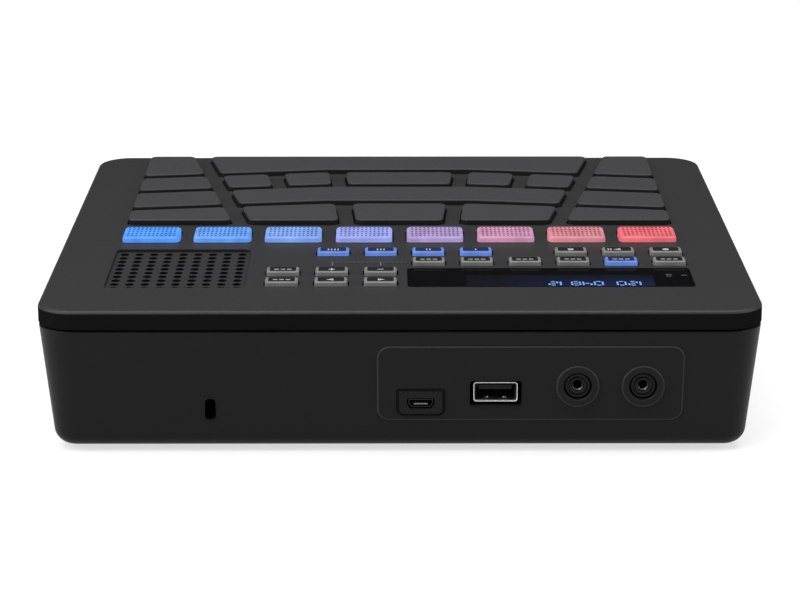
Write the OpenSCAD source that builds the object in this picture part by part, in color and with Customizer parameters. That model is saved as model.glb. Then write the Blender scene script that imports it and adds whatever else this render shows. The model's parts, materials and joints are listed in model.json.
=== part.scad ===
// Finger drum pad: a table-top instrument with rubber drum pads, lit pads, buttons and a speaker.
// Millimetres. X is the player's right, Y runs from the player to the rear, Z is up from the table.

/* [Case] */
// Width of the lid, side to side
case_w = 233; // [230:1:250]
// Depth of the lid, front to rear
case_d = 206; // [202:1:220]
// Height of the control panel above the table
panel_z = 49.2; // [47:0.2:58]
// Corner radius of the lid, seen from above
corner_r = 12; // [10:0.5:14]
// Rounding of the lid's top edge
lid_edge_r = 1.3; // [0.6:0.1:1.3]
// Height of the lid's side band
lid_h = 6.3; // [5:0.1:7]
// Open seam between the lid and the tub
seam_gap = 0.6; // [0.4:0.1:1]
// How far the tub stands in from the lid at the seam
tub_inset = 0.5; // [0.3:0.1:0.8]
// Lean of the tub's walls, in degrees
wall_draft = 5.9; // [3:0.1:6.5]
// Rounding of the tub's bottom edge
tub_edge_r = 3.5; // [2:0.5:4]
// Wall thickness of the tub
wall_t = 2.4; // [2:0.1:2.8]
// Wall thickness of the lid's side band
band_t = 1.6; // [1.4:0.1:1.8]
// Thickness of the control panel
panel_t = 2.2; // [2:0.1:2.6]
// Height of the rubber feet
foot_h = 3; // [2:0.5:5]
// Diameter of the rubber feet
foot_d = 14; // [10:1:18]

/* [Drum pads] */
// Plain border at each side of the control field
side_margin = 20; // [19.5:0.5:22]
// Plain border in front of the drum pads
front_margin = 6.6; // [6:0.2:9]
// Depth of the front row of pads
front_row_d = 20.4; // [18:0.2:24]
// Depth of the row of small pads
small_row_d = 17.4; // [15:0.2:20]
// Depth of the middle row of pads
middle_row_d = 19.5; // [17:0.1:22]
// Depth of the rear row of pads
rear_row_d = 22.8; // [20:0.2:26]
// Gap between pad rows
row_gap = 4.9; // [4:0.1:6]
// Half width of the straight middle part of each row
bend_x = 27; // [20:1:32]
// Sweep of each row's outer parts towards the rear, in degrees
row_sweep = 8; // [4:0.5:10]
// Angle between neighbouring fan lines, in degrees
fan_step = 4; // [3.8:0.1:4.2]
// Distance from the front of the pads to the point where the fan lines meet
fan_reach = 360; // [345:5:375]
// Width of the panel strip left along each fan line
channel_w = 6.2; // [6:0.1:7]
// Height of a pad above the panel
pad_proud = 2; // [1.2:0.1:2.2]
// Rounding of a pad's top edge
pad_edge_r = 0.7; // [0.4:0.1:1]
// Corner radius of a pad, seen from above
pad_corner_r = 2.4; // [1.5:0.1:3]
// Press travel of a drum pad
pad_travel = 0.8; // [0.4:0.1:1]

/* [Light pads] */
// Width of a light pad
light_w = 19.6; // [18:0.2:20.4]
// Depth of a light pad
light_d = 14.5; // [13:0.5:17]
// Space between neighbouring light pads
light_space = 5.14; // [4:0.02:5.6]
// Panel strip between the drum pads and the light pads
light_gap = 8.2; // [6:0.2:10]
// Height of a light pad above the panel
light_proud = 1.7; // [1.2:0.1:2.2]
// Press travel of a light pad
light_travel = 0.8; // [0.4:0.1:1]

/* [Buttons] */
// Width of a button
button_w = 10.8; // [9:0.2:11.4]
// Depth of a button
button_d = 6.4; // [5.5:0.1:8]
// Distance between button columns
button_pitch = 16.25; // [16:0.05:16.5]
// Distance between button rows
button_row_pitch = 12.1; // [12:0.1:12.6]
// Distance from the light pads to the middle of the first button row
button_row_gap = 14.05; // [12:0.05:15]
// Height of a button above the panel
button_proud = 1.3; // [1:0.1:2]
// Press travel of a button
button_travel = 0.8; // [0.4:0.1:1]

/* [Display and speaker] */
// Width of the display window
window_w = 94.6; // [88:0.2:95.4]
// Depth of the display window
window_d = 22.3; // [20:0.1:23]
// Thickness of the display window
window_t = 1; // [0.8:0.1:1.2]
// Space between the second button row and the display window
window_row_gap = 2.95; // [1.6:0.05:4]
// Space between the display window and the buttons beside it
window_gap = 3.5; // [3:0.1:5]
// Space between those buttons and the speaker recess
speaker_gap = 6.7; // [4:0.1:8]
// Side of the square speaker recess
grille_side = 46; // [44:0.5:46]
// Space between the light pads and the speaker recess
grille_gap = 9.3; // [8:0.1:10]
// Depth of the speaker recess
grille_recess = 1; // [0.6:0.1:1.2]
// Diameter of a grille hole
grille_hole_d = 2.7; // [2:0.1:3]
// Diameter of the speaker driver
speaker_d = 42; // [36:1:43]

/* [Rear connectors] */
// Height of the audio jacks above the tub's underside
jack_up = 20.5; // [19:0.5:22]
// Height of the large USB socket above the tub's underside
usb_a_up = 17.9; // [17.4:0.1:19]
// Height of the small USB socket above the tub's underside
usb_micro_up = 14.5; // [14:0.1:15]
// Left-right place of the phones jack
phones_x = -78; // [-80:0.5:-76]
// Left-right place of the aux jack
aux_x = -57; // [-59:0.5:-55]
// Left-right place of the large USB socket
usb_a_x = -30.7; // [-33:0.1:-29]
// Left-right place of the small USB socket
usb_micro_x = -6.6; // [-8:0.1:-6]
// Left-right place of the security-lock slot
lock_x = 61.2; // [40:0.1:80]
// Bore of the audio jacks
jack_bore_d = 3.6; // [3.5:0.1:3.8]

/* [Hidden] */
$fn = 48;

// Clearances and small sizes that several pieces share
key_gap = 0.5;
key_seat = 0.2;
key_rest = 0.3;
flange_w = 0.9;
flange_t = 1;
flange_trim = 0.4;
fit_gap = 0.3;
overlap = 1;
band_joint = 0.2;
board_t = 1.6;
post_d = 3;
corner_steps = 8;
key_steps = 3;

// Heights of the case
tub_z = foot_h;
floor_z = tub_z + wall_t;
lid_z = panel_z - lid_h;
seam_z = lid_z - seam_gap;
under_z = panel_z - panel_t;
lip_h = 2.2;
lip_t = wall_t + tub_inset - band_t - fit_gap;

// Boards hung under the panel
flange_top_z = under_z - key_seat;
flange_z = flange_top_z - flange_t;
most_travel = max(pad_travel, light_travel, button_travel);
hung_board_z = flange_z - most_travel - key_rest;
board_edge = 1;

// Control field and the rows of drum pads
field_w = case_w - 2 * side_margin;
pad_front = front_margin - case_d / 2;
row_depths = [front_row_d, small_row_d, middle_row_d, rear_row_d];
row_fronts = [
    pad_front,
    pad_front + front_row_d + row_gap,
    pad_front + front_row_d + small_row_d + 2 * row_gap,
    pad_front + front_row_d + small_row_d + middle_row_d + 3 * row_gap
];
pad_rear = row_fronts[3] + rear_row_d;
fan_y = pad_front + fan_reach;
bend_r = 40;
bend_room = 8;

// Fan lines that bound the pads of each row, where the outermost pair is the field's edge
field_edge = 4;
row_names = ["front_pad", "small_pad", "middle_pad", "rear_pad"];
row_lines = [
    [-4, -3, 3, 4],
    [-4, -3, -2, -1, 1, 2, 3, 4],
    [-4, -3, 3, 4],
    [-4, -3, -1, 1, 3, 4]
];
pads = [
    for (row = [0:3])
        for (i = [0:len(row_lines[row]) - 2])
            [str(row_names[row], "_", i + 1), row, row_lines[row][i], row_lines[row][i + 1]]
];

// Light pads, with the colour that each is lit in, from the player's left
light_colours = ["#e37580", "#ce8892", "#c28fad", "#a795c6", "#979fe4", "#83a5eb", "#6a9ced", "#5c9df8"];
light_count = len(light_colours);
light_pitch = light_w + light_space;
light_front = pad_rear + light_gap;
light_y = light_front + light_d / 2;
light_corner_r = 1.6;
light_edge_r = 0.6;
first_light_x = (1 - light_count) * light_pitch / 2;
lights = [
    for (i = [0:light_count - 1])
        [str("light_pad_", i + 1), first_light_x + i * light_pitch, light_colours[i]]
];

// Controls behind the light pads: the display, the short button rows and the speaker, side by side
short_count = 3;
short_rows_w = (short_count - 1) * button_pitch + button_w;
controls_w = window_w + window_gap + short_rows_w + speaker_gap + grille_side;
controls_left = -controls_w / 2;

// Buttons, as a group name, its row, the place of its first column and its count
button_corner_r = 1.2;
button_edge_r = 0.4;
button_inset = 0.6;
first_button_x = controls_left + button_inset + button_w / 2;
bank_x = first_button_x + 4 * button_pitch;
short_x = controls_left + window_w + window_gap + button_w / 2;
first_button_y = light_front + light_d + button_row_gap;
button_groups = [
    ["transport_button", 0, first_button_x, 3],
    ["bank_button", 0, bank_x, 4],
    ["function_button", 1, first_button_x, 6],
    ["value_button", 2, short_x, short_count],
    ["page_button", 3, short_x, short_count]
];
last_button_y = first_button_y + 3 * button_row_pitch;
buttons = [
    for (group = button_groups)
        for (i = [0:group[3] - 1])
            [
                str(group[0], "_", i + 1),
                group[2] + i * button_pitch,
                first_button_y + group[1] * button_row_pitch
            ]
];

// Buttons that are lit
lit_buttons = ["bank_button_1", "bank_button_2", "bank_button_3", "bank_button_4", "function_button_2"];
function is_lit(name) = len([for (lit = lit_buttons) if (lit == name) lit]) > 0;

// Display window and module, beside the two short button rows
window_ledge = 1.2;
window_sink = 0.25;
window_r = 1;
window_x = controls_left + window_w / 2;
window_y = first_button_y + button_row_pitch + button_d / 2 + window_row_gap + window_d / 2;
module_inset = 0.2;
module_w = window_w;
module_d = window_d - 2 * module_inset;
module_t = 5;
sight_w = window_w - 2 * window_ledge;
sight_d = window_d - 2 * window_ledge;
glass_inset = 1;
glass_w = sight_w - 2 * glass_inset;
glass_d = sight_d - 2 * glass_inset;
glass_up = 0.6;

// Speaker recess and its grid of holes
grille_x = controls_left + controls_w - grille_side / 2;
grille_y = light_front + light_d + grille_gap + grille_side / 2;
grille_r = 1.5;
grille_columns = 9;
grille_rows = 10;
grille_border = 2.8;
grille_pitch_x = (grille_side - 2 * grille_border) / (grille_columns - 1);
grille_pitch_y = (grille_side - 2 * grille_border) / (grille_rows - 1);

// Rear wall and its connectors
jack_z = tub_z + jack_up;
usb_a_z = tub_z + usb_a_up;
usb_micro_z = tub_z + usb_micro_up;
port_panel_x = [-91, 7.4];
port_panel_up = [8.5, 34.2];
port_panel_r = 4;
port_rise = 0.4;
jack_boss_d = 13.8;
jack_boss_rise = 0.15;
jack_sink = 1.2;
jack_bush_d = 8.4;
jack_bore_depth = 15;
jack_body = [11.5, 13, 12.4];
jack_setback = 1.2;
usb_a_shell = [13.2, 14, 5.8];
usb_a_wall = 0.35;
usb_a_lip = [14.4, 0.6, 6.7];
usb_a_cut = [16.6, 8.7];
usb_a_sink = 1.2;
usb_a_tongue = [11.1, 8.6, 1.8];
usb_a_block = 3;
usb_micro_shell = [7.6, 5.6, 2.6];
usb_micro_wall = 0.3;
usb_micro_hole = [8.8, 3.4];
usb_micro_tongue = [4.2, 3.6, 0.6];
micro_block = [15.7, 9.4];
micro_block_up = 0.4;
micro_block_rise = 0.1;
micro_block_low_r = 2.4;
micro_block_top_r = 1;
usb_micro_sink = 0.9;
lock_slot = [3.4, 7.4];
lock_up = 12.2;

// Main board behind the rear wall
main_board_z = usb_micro_z - usb_micro_shell[2] / 2;
main_board_rear = rear_y(main_board_z - board_t) - wall_t - fit_gap;
main_board_d = 40;
main_board_x = [-92, 16];
main_post_inset = 5;

// Battery pack on the floor
battery = [80, 52, 19];
battery_y = -44;

// Screws that hold the two case halves together
screw_inset_x = 13.5;
screw_inset_y = 15;
screw_x = case_w / 2 - screw_inset_x;
screw_y = case_d / 2 - screw_inset_y;
screw_places = [for (x = [-screw_x, screw_x]) for (y = [-screw_y, 0, screw_y]) [x, y]];
screw_boss_d = 7;
screw_foot_d = 9;
screw_foot_h = 2.6;
screw_foot_z = floor_z + screw_foot_h;
screw_head_d = 5.6;
screw_head_t = 2.2;
screw_head_sink = 0.4;
screw_head_z = tub_z + screw_head_sink;
screw_shank_d = 2.9;
screw_l = 14;
screw_hole_d = 3;
screw_pass_d = 3.5;
screw_sink_d = 6.2;

// Rubber feet
foot_inset_x = 26;
foot_inset_y = 24;
foot_x = case_w / 2 - foot_inset_x;
foot_y = case_d / 2 - foot_inset_y;

// How far back the rear wall's outer face lies at height z
function rear_y(z) = case_d / 2 - tub_inset - (seam_z - z) * tan(wall_draft);

// Unit vector from one point to another
function heading(a, b) = (b - a) / norm(b - a);
// A vector turned by an angle
function turned(v, angle) = [v[0] * cos(angle) - v[1] * sin(angle), v[0] * sin(angle) + v[1] * cos(angle)];
// Signed angle from one heading to the next
function turn(u, v) = atan2(u[0] * v[1] - u[1] * v[0], u * v);
// Outward side of an edge in an outline that runs anticlockwise
function outward(u) = [u[1], -u[0]];

// The arc that rounds corner b between points a and c
function corner_arc(a, b, c, r, steps) =
    let (u = heading(a, b), v = heading(b, c), angle = turn(u, v), side = sign(angle))
    let (start = b - u * r * tan(abs(angle) / 2), spoke = outward(u) * r * side)
    [for (i = [0:steps]) start - spoke + turned(spoke, angle * i / steps)];

// An outline with each corner [x, y, radius] rounded
function rounded(corners, steps) =
    let (n = len(corners), xy = [for (c = corners) [c[0], c[1]]])
    [for (i = [0:n - 1]) each corner_arc(xy[(i + n - 1) % n], xy[i], xy[(i + 1) % n], corners[i][2], steps)];

// An outline moved outwards by a distance, or inwards if that is negative
function grow(outline, distance) =
    let (n = len(outline))
    [
        for (i = [0:n - 1])
            let (a = outward(heading(outline[(i + n - 1) % n], outline[i])))
            let (b = outward(heading(outline[i], outline[(i + 1) % n])))
            outline[i] + distance * (a + b) / (1 + a * b)
    ];

// A rounded rectangle about a centre
function plate(x, y, w, d, r, steps) =
    let (left = x - w / 2, right = x + w / 2, front = y - d / 2, rear = y + d / 2)
    rounded([[left, front, r], [right, front, r], [right, rear, r], [left, rear, r]], steps);

lid_plan = plate(0, 0, case_w, case_d, corner_r, corner_steps);
tub_plan = grow(lid_plan, -tub_inset);

// A solid through rings [height, outward distance] that all follow one outline. Its ends are cut into
// triangles about the end of the outline's first corner, which sees all of a bent pad.
module ring_stack(outline, rings) {
    n = len(outline);
    top = n * (len(rings) - 1);
    points = [for (ring = rings) each [for (p = grow(outline, ring[1])) [p[0], p[1], ring[0]]]];
    sides = [
        for (k = [0:len(rings) - 2])
            for (i = [0:n - 1])
                let (j = (i + 1) % n)
                [k * n + i, k * n + n + i, k * n + n + j, k * n + j]
    ];
    floor_faces = [for (i = [1:n - 2]) [key_steps, (key_steps + i) % n, (key_steps + i + 1) % n]];
    roof_faces = [for (face = floor_faces) [for (i = reversed(face)) top + i]];
    polyhedron(points = points, faces = concat(floor_faces, roof_faces, sides));
}

// A straight block with an outline seen from above
module slab(outline, z, h) {
    translate([0, 0, z]) linear_extrude(h) polygon(outline);
}

// A straight block, centred on x and y, that stands on height z
module block(x, y, z, size) {
    translate([x - size[0] / 2, y - size[1] / 2, z]) cube(size);
}

// Rings of a quarter-round edge that ends at height z
function edge_rings(z, r, steps) =
    [for (i = [0:steps]) let (a = 90 * i / steps) [z - r + r * sin(a), -r + r * cos(a)]];

// A key: a flange that is held under the panel and a cap that stands out of it
module key(outline, proud, edge_r) {
    cap = edge_rings(panel_z + proud, edge_r, 2);
    ring_stack(outline, concat([[flange_z, flange_w], [flange_top_z, flange_w], [flange_top_z, 0]], cap));
}

// Where a pad's side lies at depth y: beside the strip along a fan line, or at the field's edge.
// A reach above 0 moves it outwards.
function line_x(line, side, y, reach) =
    abs(line) == field_edge
        ? sign(line) * (field_w / 2 + reach)
        : (fan_y - y) * tan(line * fan_step) + side * (channel_w / 2 - reach) / cos(line * fan_step);

// How far a row's edge lies behind its middle at width x
function sweep(x) = max(0, abs(x) - bend_x) * tan(row_sweep);

// The corner where a fan line meets a row's edge, which is straight or bent
function pad_corner(line, side, y, bent, reach) =
    let (near_y = bent ? y + sweep(line_x(line, side, y, reach)) : y)
    let (x = line_x(line, side, near_y, reach))
    [x, bent ? y + sweep(x) : y, pad_corner_r];

// The bends of a row's edge between two corners, from left to right
function pad_bends(left, right, y) =
    [for (x = [-bend_x, bend_x]) if (x > left[0] + bend_room && x < right[0] - bend_room) [x, y, bend_r]];

function reversed(list) = [for (i = [len(list) - 1:-1:0]) list[i]];

// Outline of a drum pad, from its front left corner anticlockwise, with its two sides moved outwards
// by a reach and its front and rear edges moved inwards by a trim
function pad_plan(pad, reach = 0, trim = 0) =
    let (row = pad[1], front = row_fronts[row] + trim, rear = row_fronts[row] + row_depths[row] - trim)
    let (front_bent = row > 0, rear_bent = row < 3)
    let (a = pad_corner(pad[2], 1, front, front_bent, reach))
    let (b = pad_corner(pad[3], -1, front, front_bent, reach))
    let (c = pad_corner(pad[3], -1, rear, rear_bent, reach))
    let (d = pad_corner(pad[2], 1, rear, rear_bent, reach))
    let (front_bends = front_bent ? pad_bends(a, b, front) : [])
    let (rear_bends = rear_bent ? reversed(pad_bends(d, c, rear)) : [])
    rounded(concat([a], front_bends, [b, c], rear_bends, [d]), key_steps);

function light_plan(light) = plate(light[1], light_y, light_w, light_d, light_corner_r, key_steps);
function button_plan(button) = plate(button[1], button[2], button_w, button_d, button_corner_r, key_steps);

// A drum pad: a cap and a flange that is held under the panel strips at its two sides
module drum_pad(pad) {
    cap = edge_rings(panel_z + pad_proud, pad_edge_r, 2);
    color("#48484b") {
        ring_stack(pad_plan(pad), concat([[flange_z + flange_t / 2, 0]], cap));
        slab(pad_plan(pad, flange_w, flange_trim), flange_z, flange_t);
    }
}

module light_pad(light) {
    color(light[2]) key(light_plan(light), light_proud, light_edge_r);
}

module button(button) {
    color(is_lit(button[0]) ? "#6d8edb" : "#8f9090") key(button_plan(button), button_proud, button_edge_r);
}

// Places on the fan lines where posts carry the sensor board
function fan_post(line, y) = [(fan_y - y) * tan(line * fan_step), y];
sensor_post_inset = 12;
sensor_post_y = [pad_front + sensor_post_inset, pad_rear - sensor_post_inset];
sensor_posts = [for (line = [-3, 3]) for (y = sensor_post_y) fan_post(line, y)];
control_post_pitch = 59;
control_post_y = (light_front + light_d + first_button_y - button_d / 2) / 2;
control_posts = [for (k = [-1.5:1.5]) [k * control_post_pitch, control_post_y]];

// The lid: control panel, side band, screw bosses and board posts
module lid() {
    color("#3b3b3e") {
        lid_band();
        difference() {
            union() {
                slab(grow(lid_plan, band_joint - band_t), under_z, panel_t);
                lid_posts(screw_places, screw_boss_d, screw_foot_z);
                lid_posts(concat(sensor_posts, control_posts), post_d, hung_board_z);
            }
            key_openings();
            display_opening();
            speaker_grille();
            for (place = screw_places)
                translate([place[0], place[1], screw_foot_z - overlap])
                    cylinder(d = screw_hole_d, h = screw_l + overlap);
        }
    }
}

// Side band of the lid, with its rounded top edge
module lid_band() {
    difference() {
        ring_stack(lid_plan, concat([[lid_z, 0]], edge_rings(panel_z, lid_edge_r, 4)));
        slab(grow(lid_plan, -band_t), lid_z - overlap, lid_h + 2 * overlap);
    }
}

// Posts that reach from the panel down to height z
module lid_posts(places, d, z) {
    for (place = places)
        translate([place[0], place[1], z]) cylinder(d = d, h = under_z + panel_t / 2 - z);
}

module key_openings() {
    plans = concat(
        [for (pad = pads) pad_plan(pad)],
        [for (light = lights) light_plan(light)],
        [for (button = buttons) button_plan(button)]
    );
    for (plan = plans)
        slab(grow(plan, key_gap), under_z - overlap, panel_t + 2 * overlap);
}

module display_opening() {
    seat = plate(window_x, window_y, window_w, window_d, window_r, key_steps);
    sight = plate(window_x, window_y, sight_w, sight_d, window_r, key_steps);
    slab(seat, panel_z - window_sink - window_t, window_t + window_sink + overlap);
    slab(sight, under_z - overlap, panel_t + 2 * overlap);
}

module speaker_grille() {
    recess = plate(grille_x, grille_y, grille_side, grille_side, grille_r, key_steps);
    slab(recess, panel_z - grille_recess, grille_recess + overlap);
    for (i = [0:grille_columns - 1])
        for (j = [0:grille_rows - 1])
            translate([
                grille_x - grille_side / 2 + grille_border + i * grille_pitch_x,
                grille_y - grille_side / 2 + grille_border + j * grille_pitch_y,
                under_z - overlap
            ])
                cylinder(d = grille_hole_d, h = panel_t + 2 * overlap, $fn = 24);
}

// How far the tub's wall has come in at height z
function tub_lean(z) = -(seam_z - z) * tan(wall_draft);

// The tub: leaning walls, floor, lip for the lid, posts and the rear connector openings
module tub() {
    color("#2b2b2d") difference() {
        union() {
            tub_shell();
            tub_lip();
            for (place = screw_places)
                translate([place[0], place[1], floor_z - wall_t / 2])
                    cylinder(d = screw_foot_d, h = screw_foot_z - floor_z + wall_t / 2);
            for (place = main_posts)
                translate([place[0], place[1], floor_z - wall_t / 2])
                    cylinder(d = 2 * post_d, h = main_board_z - board_t - floor_z + wall_t / 2);
            port_panel();
            micro_boss();
            for (x = [aux_x, phones_x])
                jack_boss(x);
        }
        micro_opening();
        usb_a_opening();
        for (x = [aux_x, phones_x])
            jack_opening(x);
        lock_opening();
        for (place = screw_places)
            translate([place[0], place[1], tub_z - overlap])
                screw_opening();
    }
}

module tub_shell() {
    outer = [
        for (i = [0:4])
            let (a = 90 * i / 4, z = tub_z + tub_edge_r * (1 - cos(a)))
            [z, tub_lean(z) - tub_edge_r * (1 - sin(a))]
    ];
    inner = [for (z = [floor_z, seam_z + overlap]) [z, tub_lean(z) - wall_t]];
    difference() {
        ring_stack(tub_plan, concat(outer, [[seam_z, 0]]));
        ring_stack(tub_plan, inner);
    }
}

module tub_lip() {
    lip_outer = grow(lid_plan, -band_t - fit_gap);
    difference() {
        slab(lip_outer, seam_z - overlap, lip_h + overlap);
        slab(grow(lip_outer, -lip_t), seam_z - 2 * overlap, lip_h + 3 * overlap);
    }
}

// Posts of the main board, one near each corner
main_posts = [
    for (x = [main_board_x[0] + main_post_inset, main_board_x[1] - main_post_inset])
        for (y = [main_board_rear - main_post_inset, main_board_rear - main_board_d + main_post_inset])
            [x, y]
];

// Shallow panel around the connectors, raised square to the leaning wall
module port_panel() {
    middle_up = (port_panel_up[0] + port_panel_up[1]) / 2;
    middle_x = (port_panel_x[0] + port_panel_x[1]) / 2;
    width = port_panel_x[1] - port_panel_x[0];
    height = port_panel_up[1] - port_panel_up[0];
    translate([middle_x, rear_y(tub_z + middle_up), tub_z + middle_up])
        rotate([-90 - wall_draft, 0, 0])
            translate([0, 0, -wall_t / 2])
                linear_extrude(wall_t / 2 + port_rise)
                    polygon(plate(0, 0, width, height, port_panel_r, key_steps));
}

// A block seen from the rear, from one depth to another
module rear_block(x, z, size, y_from, y_to) {
    translate([x - size[0] / 2, y_from, z - size[1] / 2]) cube([size[0], y_to - y_from, size[1]]);
}

// How far back the port panel's face lies at height z
function port_y(z) = rear_y(z) + port_rise / cos(wall_draft);

// Upright faces of the boss around the small USB socket and of the bosses around the jacks, whose upper
// ends lie almost flush with the leaning panel
micro_face_y = port_y(usb_micro_z + micro_block_up + micro_block[1] / 2) + micro_block_rise;
jack_boss_y = port_y(jack_z + jack_boss_d / 2) + jack_boss_rise;
jack_face_y = jack_boss_y - jack_sink;

module micro_boss() {
    left = usb_micro_x - micro_block[0] / 2;
    right = usb_micro_x + micro_block[0] / 2;
    low = usb_micro_z + micro_block_up - micro_block[1] / 2;
    top = low + micro_block[1];
    outline = rounded([
        [left, low, micro_block_low_r],
        [right, low, micro_block_low_r],
        [right, top, micro_block_top_r],
        [left, top, micro_block_top_r]
    ], key_steps);
    translate([0, micro_face_y, 0])
        rotate([90, 0, 0])
            linear_extrude(micro_face_y - rear_y(usb_micro_z) + wall_t / 2) polygon(outline);
}

module micro_opening() {
    rear_block(usb_micro_x, usb_micro_z, usb_micro_hole, rear_y(usb_micro_z) - 2 * wall_t, case_d / 2);
}

module usb_a_opening() {
    rear_block(usb_a_x, usb_a_z, usb_a_cut, rear_y(usb_a_z) - 2 * wall_t, case_d / 2);
}

module jack_boss(x) {
    translate([x, jack_boss_y, jack_z])
        rotate([90, 0, 0]) cylinder(d = jack_boss_d, h = jack_boss_y - rear_y(jack_z) + wall_t / 2);
}

module jack_opening(x) {
    depth = case_d / 2 - rear_y(jack_z) + 2 * wall_t;
    translate([x, case_d / 2, jack_z])
        rotate([90, 0, 0]) cylinder(d = jack_bush_d + 2 * key_rest, h = depth);
}

module lock_opening() {
    z = tub_z + lock_up;
    rear_block(lock_x, z, lock_slot, rear_y(z) - 2 * wall_t, case_d / 2);
}

module screw_opening() {
    cylinder(d = screw_sink_d, h = screw_head_z + screw_head_t - tub_z + overlap);
    cylinder(d = screw_pass_d, h = screw_foot_z - tub_z + 2 * overlap);
}

module display_window() {
    plan = plate(window_x, window_y, window_w - fit_gap, window_d - fit_gap, window_r, key_steps);
    color("#0a0b0e") slab(plan, panel_z - window_sink - window_t, window_t);
}

// Display module: a housing under the panel and a raised glass that looks through the window opening
module display_module() {
    color("#1c2236") {
        block(window_x, window_y, under_z - module_t, [module_w, module_d, module_t]);
        block(window_x, window_y, under_z - overlap, [glass_w, glass_d, overlap + glass_up]);
    }
}

// Speaker driver: basket with a paper cone inside it and a magnet behind
module speaker_driver() {
    rim_t = 2;
    basket_h = 12;
    magnet_d = 25;
    magnet_h = 8;
    cone_t = 0.8;
    color("#222224") translate([grille_x, grille_y, under_z]) rotate_extrude() polygon([
        [0, -basket_h - magnet_h],
        [magnet_d / 2, -basket_h - magnet_h],
        [magnet_d / 2, -basket_h],
        [speaker_d / 2 - rim_t, -rim_t],
        [speaker_d / 2, -rim_t],
        [speaker_d / 2, 0],
        [speaker_d / 2 - rim_t, 0],
        [speaker_d / 2 - rim_t, -cone_t],
        [magnet_d / 4, -basket_h + 2 * cone_t],
        [0, -basket_h + 4 * cone_t]
    ]);
}

module sensor_board() {
    front = pad_front - board_edge;
    color("#1f5a3a")
        translate([-field_w / 2 - board_edge, front, hung_board_z - board_t])
            cube([field_w + 2 * board_edge, pad_rear + board_edge - front, board_t]);
}

// Control board: a full strip under the light pads, with arms between the display and the speaker
module control_board() {
    left = controls_left - board_edge;
    right = controls_left + controls_w + board_edge;
    front = light_front - board_edge - flange_w;
    speaker_side = grille_x - grille_side / 2 - board_edge;
    speaker_front = grille_y - grille_side / 2 - board_edge;
    display_side = window_x + module_w / 2 + board_edge;
    display_front = window_y - module_d / 2 - board_edge;
    rear = last_button_y + button_d / 2 + flange_w + board_edge;
    color("#1f5a3a") translate([0, 0, hung_board_z - board_t]) linear_extrude(board_t) polygon([
        [left, front],
        [right, front],
        [right, speaker_front],
        [speaker_side, speaker_front],
        [speaker_side, rear],
        [display_side, rear],
        [display_side, display_front],
        [left, display_front]
    ]);
}

module main_board() {
    color("#1f5a3a")
        translate([main_board_x[0], main_board_rear - main_board_d, main_board_z - board_t])
            cube([main_board_x[1] - main_board_x[0], main_board_d, board_t]);
}

module battery_pack() {
    color("#3d5a80") block(0, battery_y, floor_z, battery);
}

// Small USB socket: an open metal shell with a thin tongue, standing on the main board
module usb_micro_socket() {
    mouth = micro_face_y - usb_micro_sink;
    back = mouth - usb_micro_shell[1];
    outer = [usb_micro_shell[0], usb_micro_shell[2]];
    inner = [outer[0] - 2 * usb_micro_wall, outer[1] - 2 * usb_micro_wall];
    color("#c4c6c8") {
        difference() {
            rear_block(usb_micro_x, usb_micro_z, outer, back, mouth);
            rear_block(usb_micro_x, usb_micro_z, inner, back + overlap, mouth + overlap);
        }
        rear_block(
            usb_micro_x, usb_micro_z, [usb_micro_tongue[0], usb_micro_tongue[2]],
            back + overlap / 2, back + overlap + usb_micro_tongue[1]
        );
    }
}

// Large USB socket: a metal shell with a flared mouth, its tongue and the block it stands on
module usb_a_socket() {
    mouth = rear_y(usb_a_z) - usb_a_sink;
    back = mouth - usb_a_shell[1];
    outer = [usb_a_shell[0], usb_a_shell[2]];
    inner = [outer[0] - 2 * usb_a_wall, outer[1] - 2 * usb_a_wall];
    color("#c4c6c8") {
        difference() {
            union() {
                rear_block(usb_a_x, usb_a_z, outer, back, mouth);
                rear_block(usb_a_x, usb_a_z, [usb_a_lip[0], usb_a_lip[2]], mouth - usb_a_lip[1], mouth);
                translate([usb_a_x - outer[0] / 2, back, main_board_z])
                    cube([outer[0], usb_a_block, usb_a_z - main_board_z]);
            }
            rear_block(usb_a_x, usb_a_z, inner, back + usb_a_block, mouth + overlap);
        }
        rear_block(
            usb_a_x, usb_a_z + usb_a_tongue[2] / 2, [usb_a_tongue[0], usb_a_tongue[2]],
            back + usb_a_block - overlap, back + usb_a_block + usb_a_tongue[1]
        );
    }
}

// A 3.5 mm jack: a body on the main board with a round bush through the rear wall
module audio_jack(x) {
    body_rear = rear_y(main_board_z) - wall_t - fit_gap - jack_setback;
    color("#161617") difference() {
        union() {
            block(x, body_rear - jack_body[1] / 2, main_board_z, jack_body);
            translate([x, body_rear - overlap, jack_z])
                rotate([-90, 0, 0]) cylinder(d = jack_bush_d, h = jack_face_y - body_rear + overlap);
        }
        translate([x, jack_face_y + overlap, jack_z])
            rotate([90, 0, 0]) cylinder(d = jack_bore_d, h = jack_bore_depth + overlap);
    }
}

module rubber_feet() {
    color("#151516")
        for (x = [-foot_x, foot_x])
            for (y = [-foot_y, foot_y])
                translate([x, y, 0]) cylinder(d = foot_d, h = foot_h);
}

// Pan-head screws, driven up through the tub into the lid's bosses
module case_screws() {
    color("#8c8f93")
        for (place = screw_places)
            translate([place[0], place[1], screw_head_z]) {
                cylinder(d = screw_head_d, h = screw_head_t);
                cylinder(d = screw_shank_d, h = screw_l);
            }
}

lid();
tub();
display_window();
display_module();
speaker_driver();
sensor_board();
control_board();
main_board();
battery_pack();
usb_micro_socket();
usb_a_socket();
audio_jack(aux_x);  // aux_jack
audio_jack(phones_x);  // phones_jack
rubber_feet();
case_screws();
for (pad = pads)
    drum_pad(pad);
for (light = lights)
    light_pad(light);
for (button = buttons)
    button(button);
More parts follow.
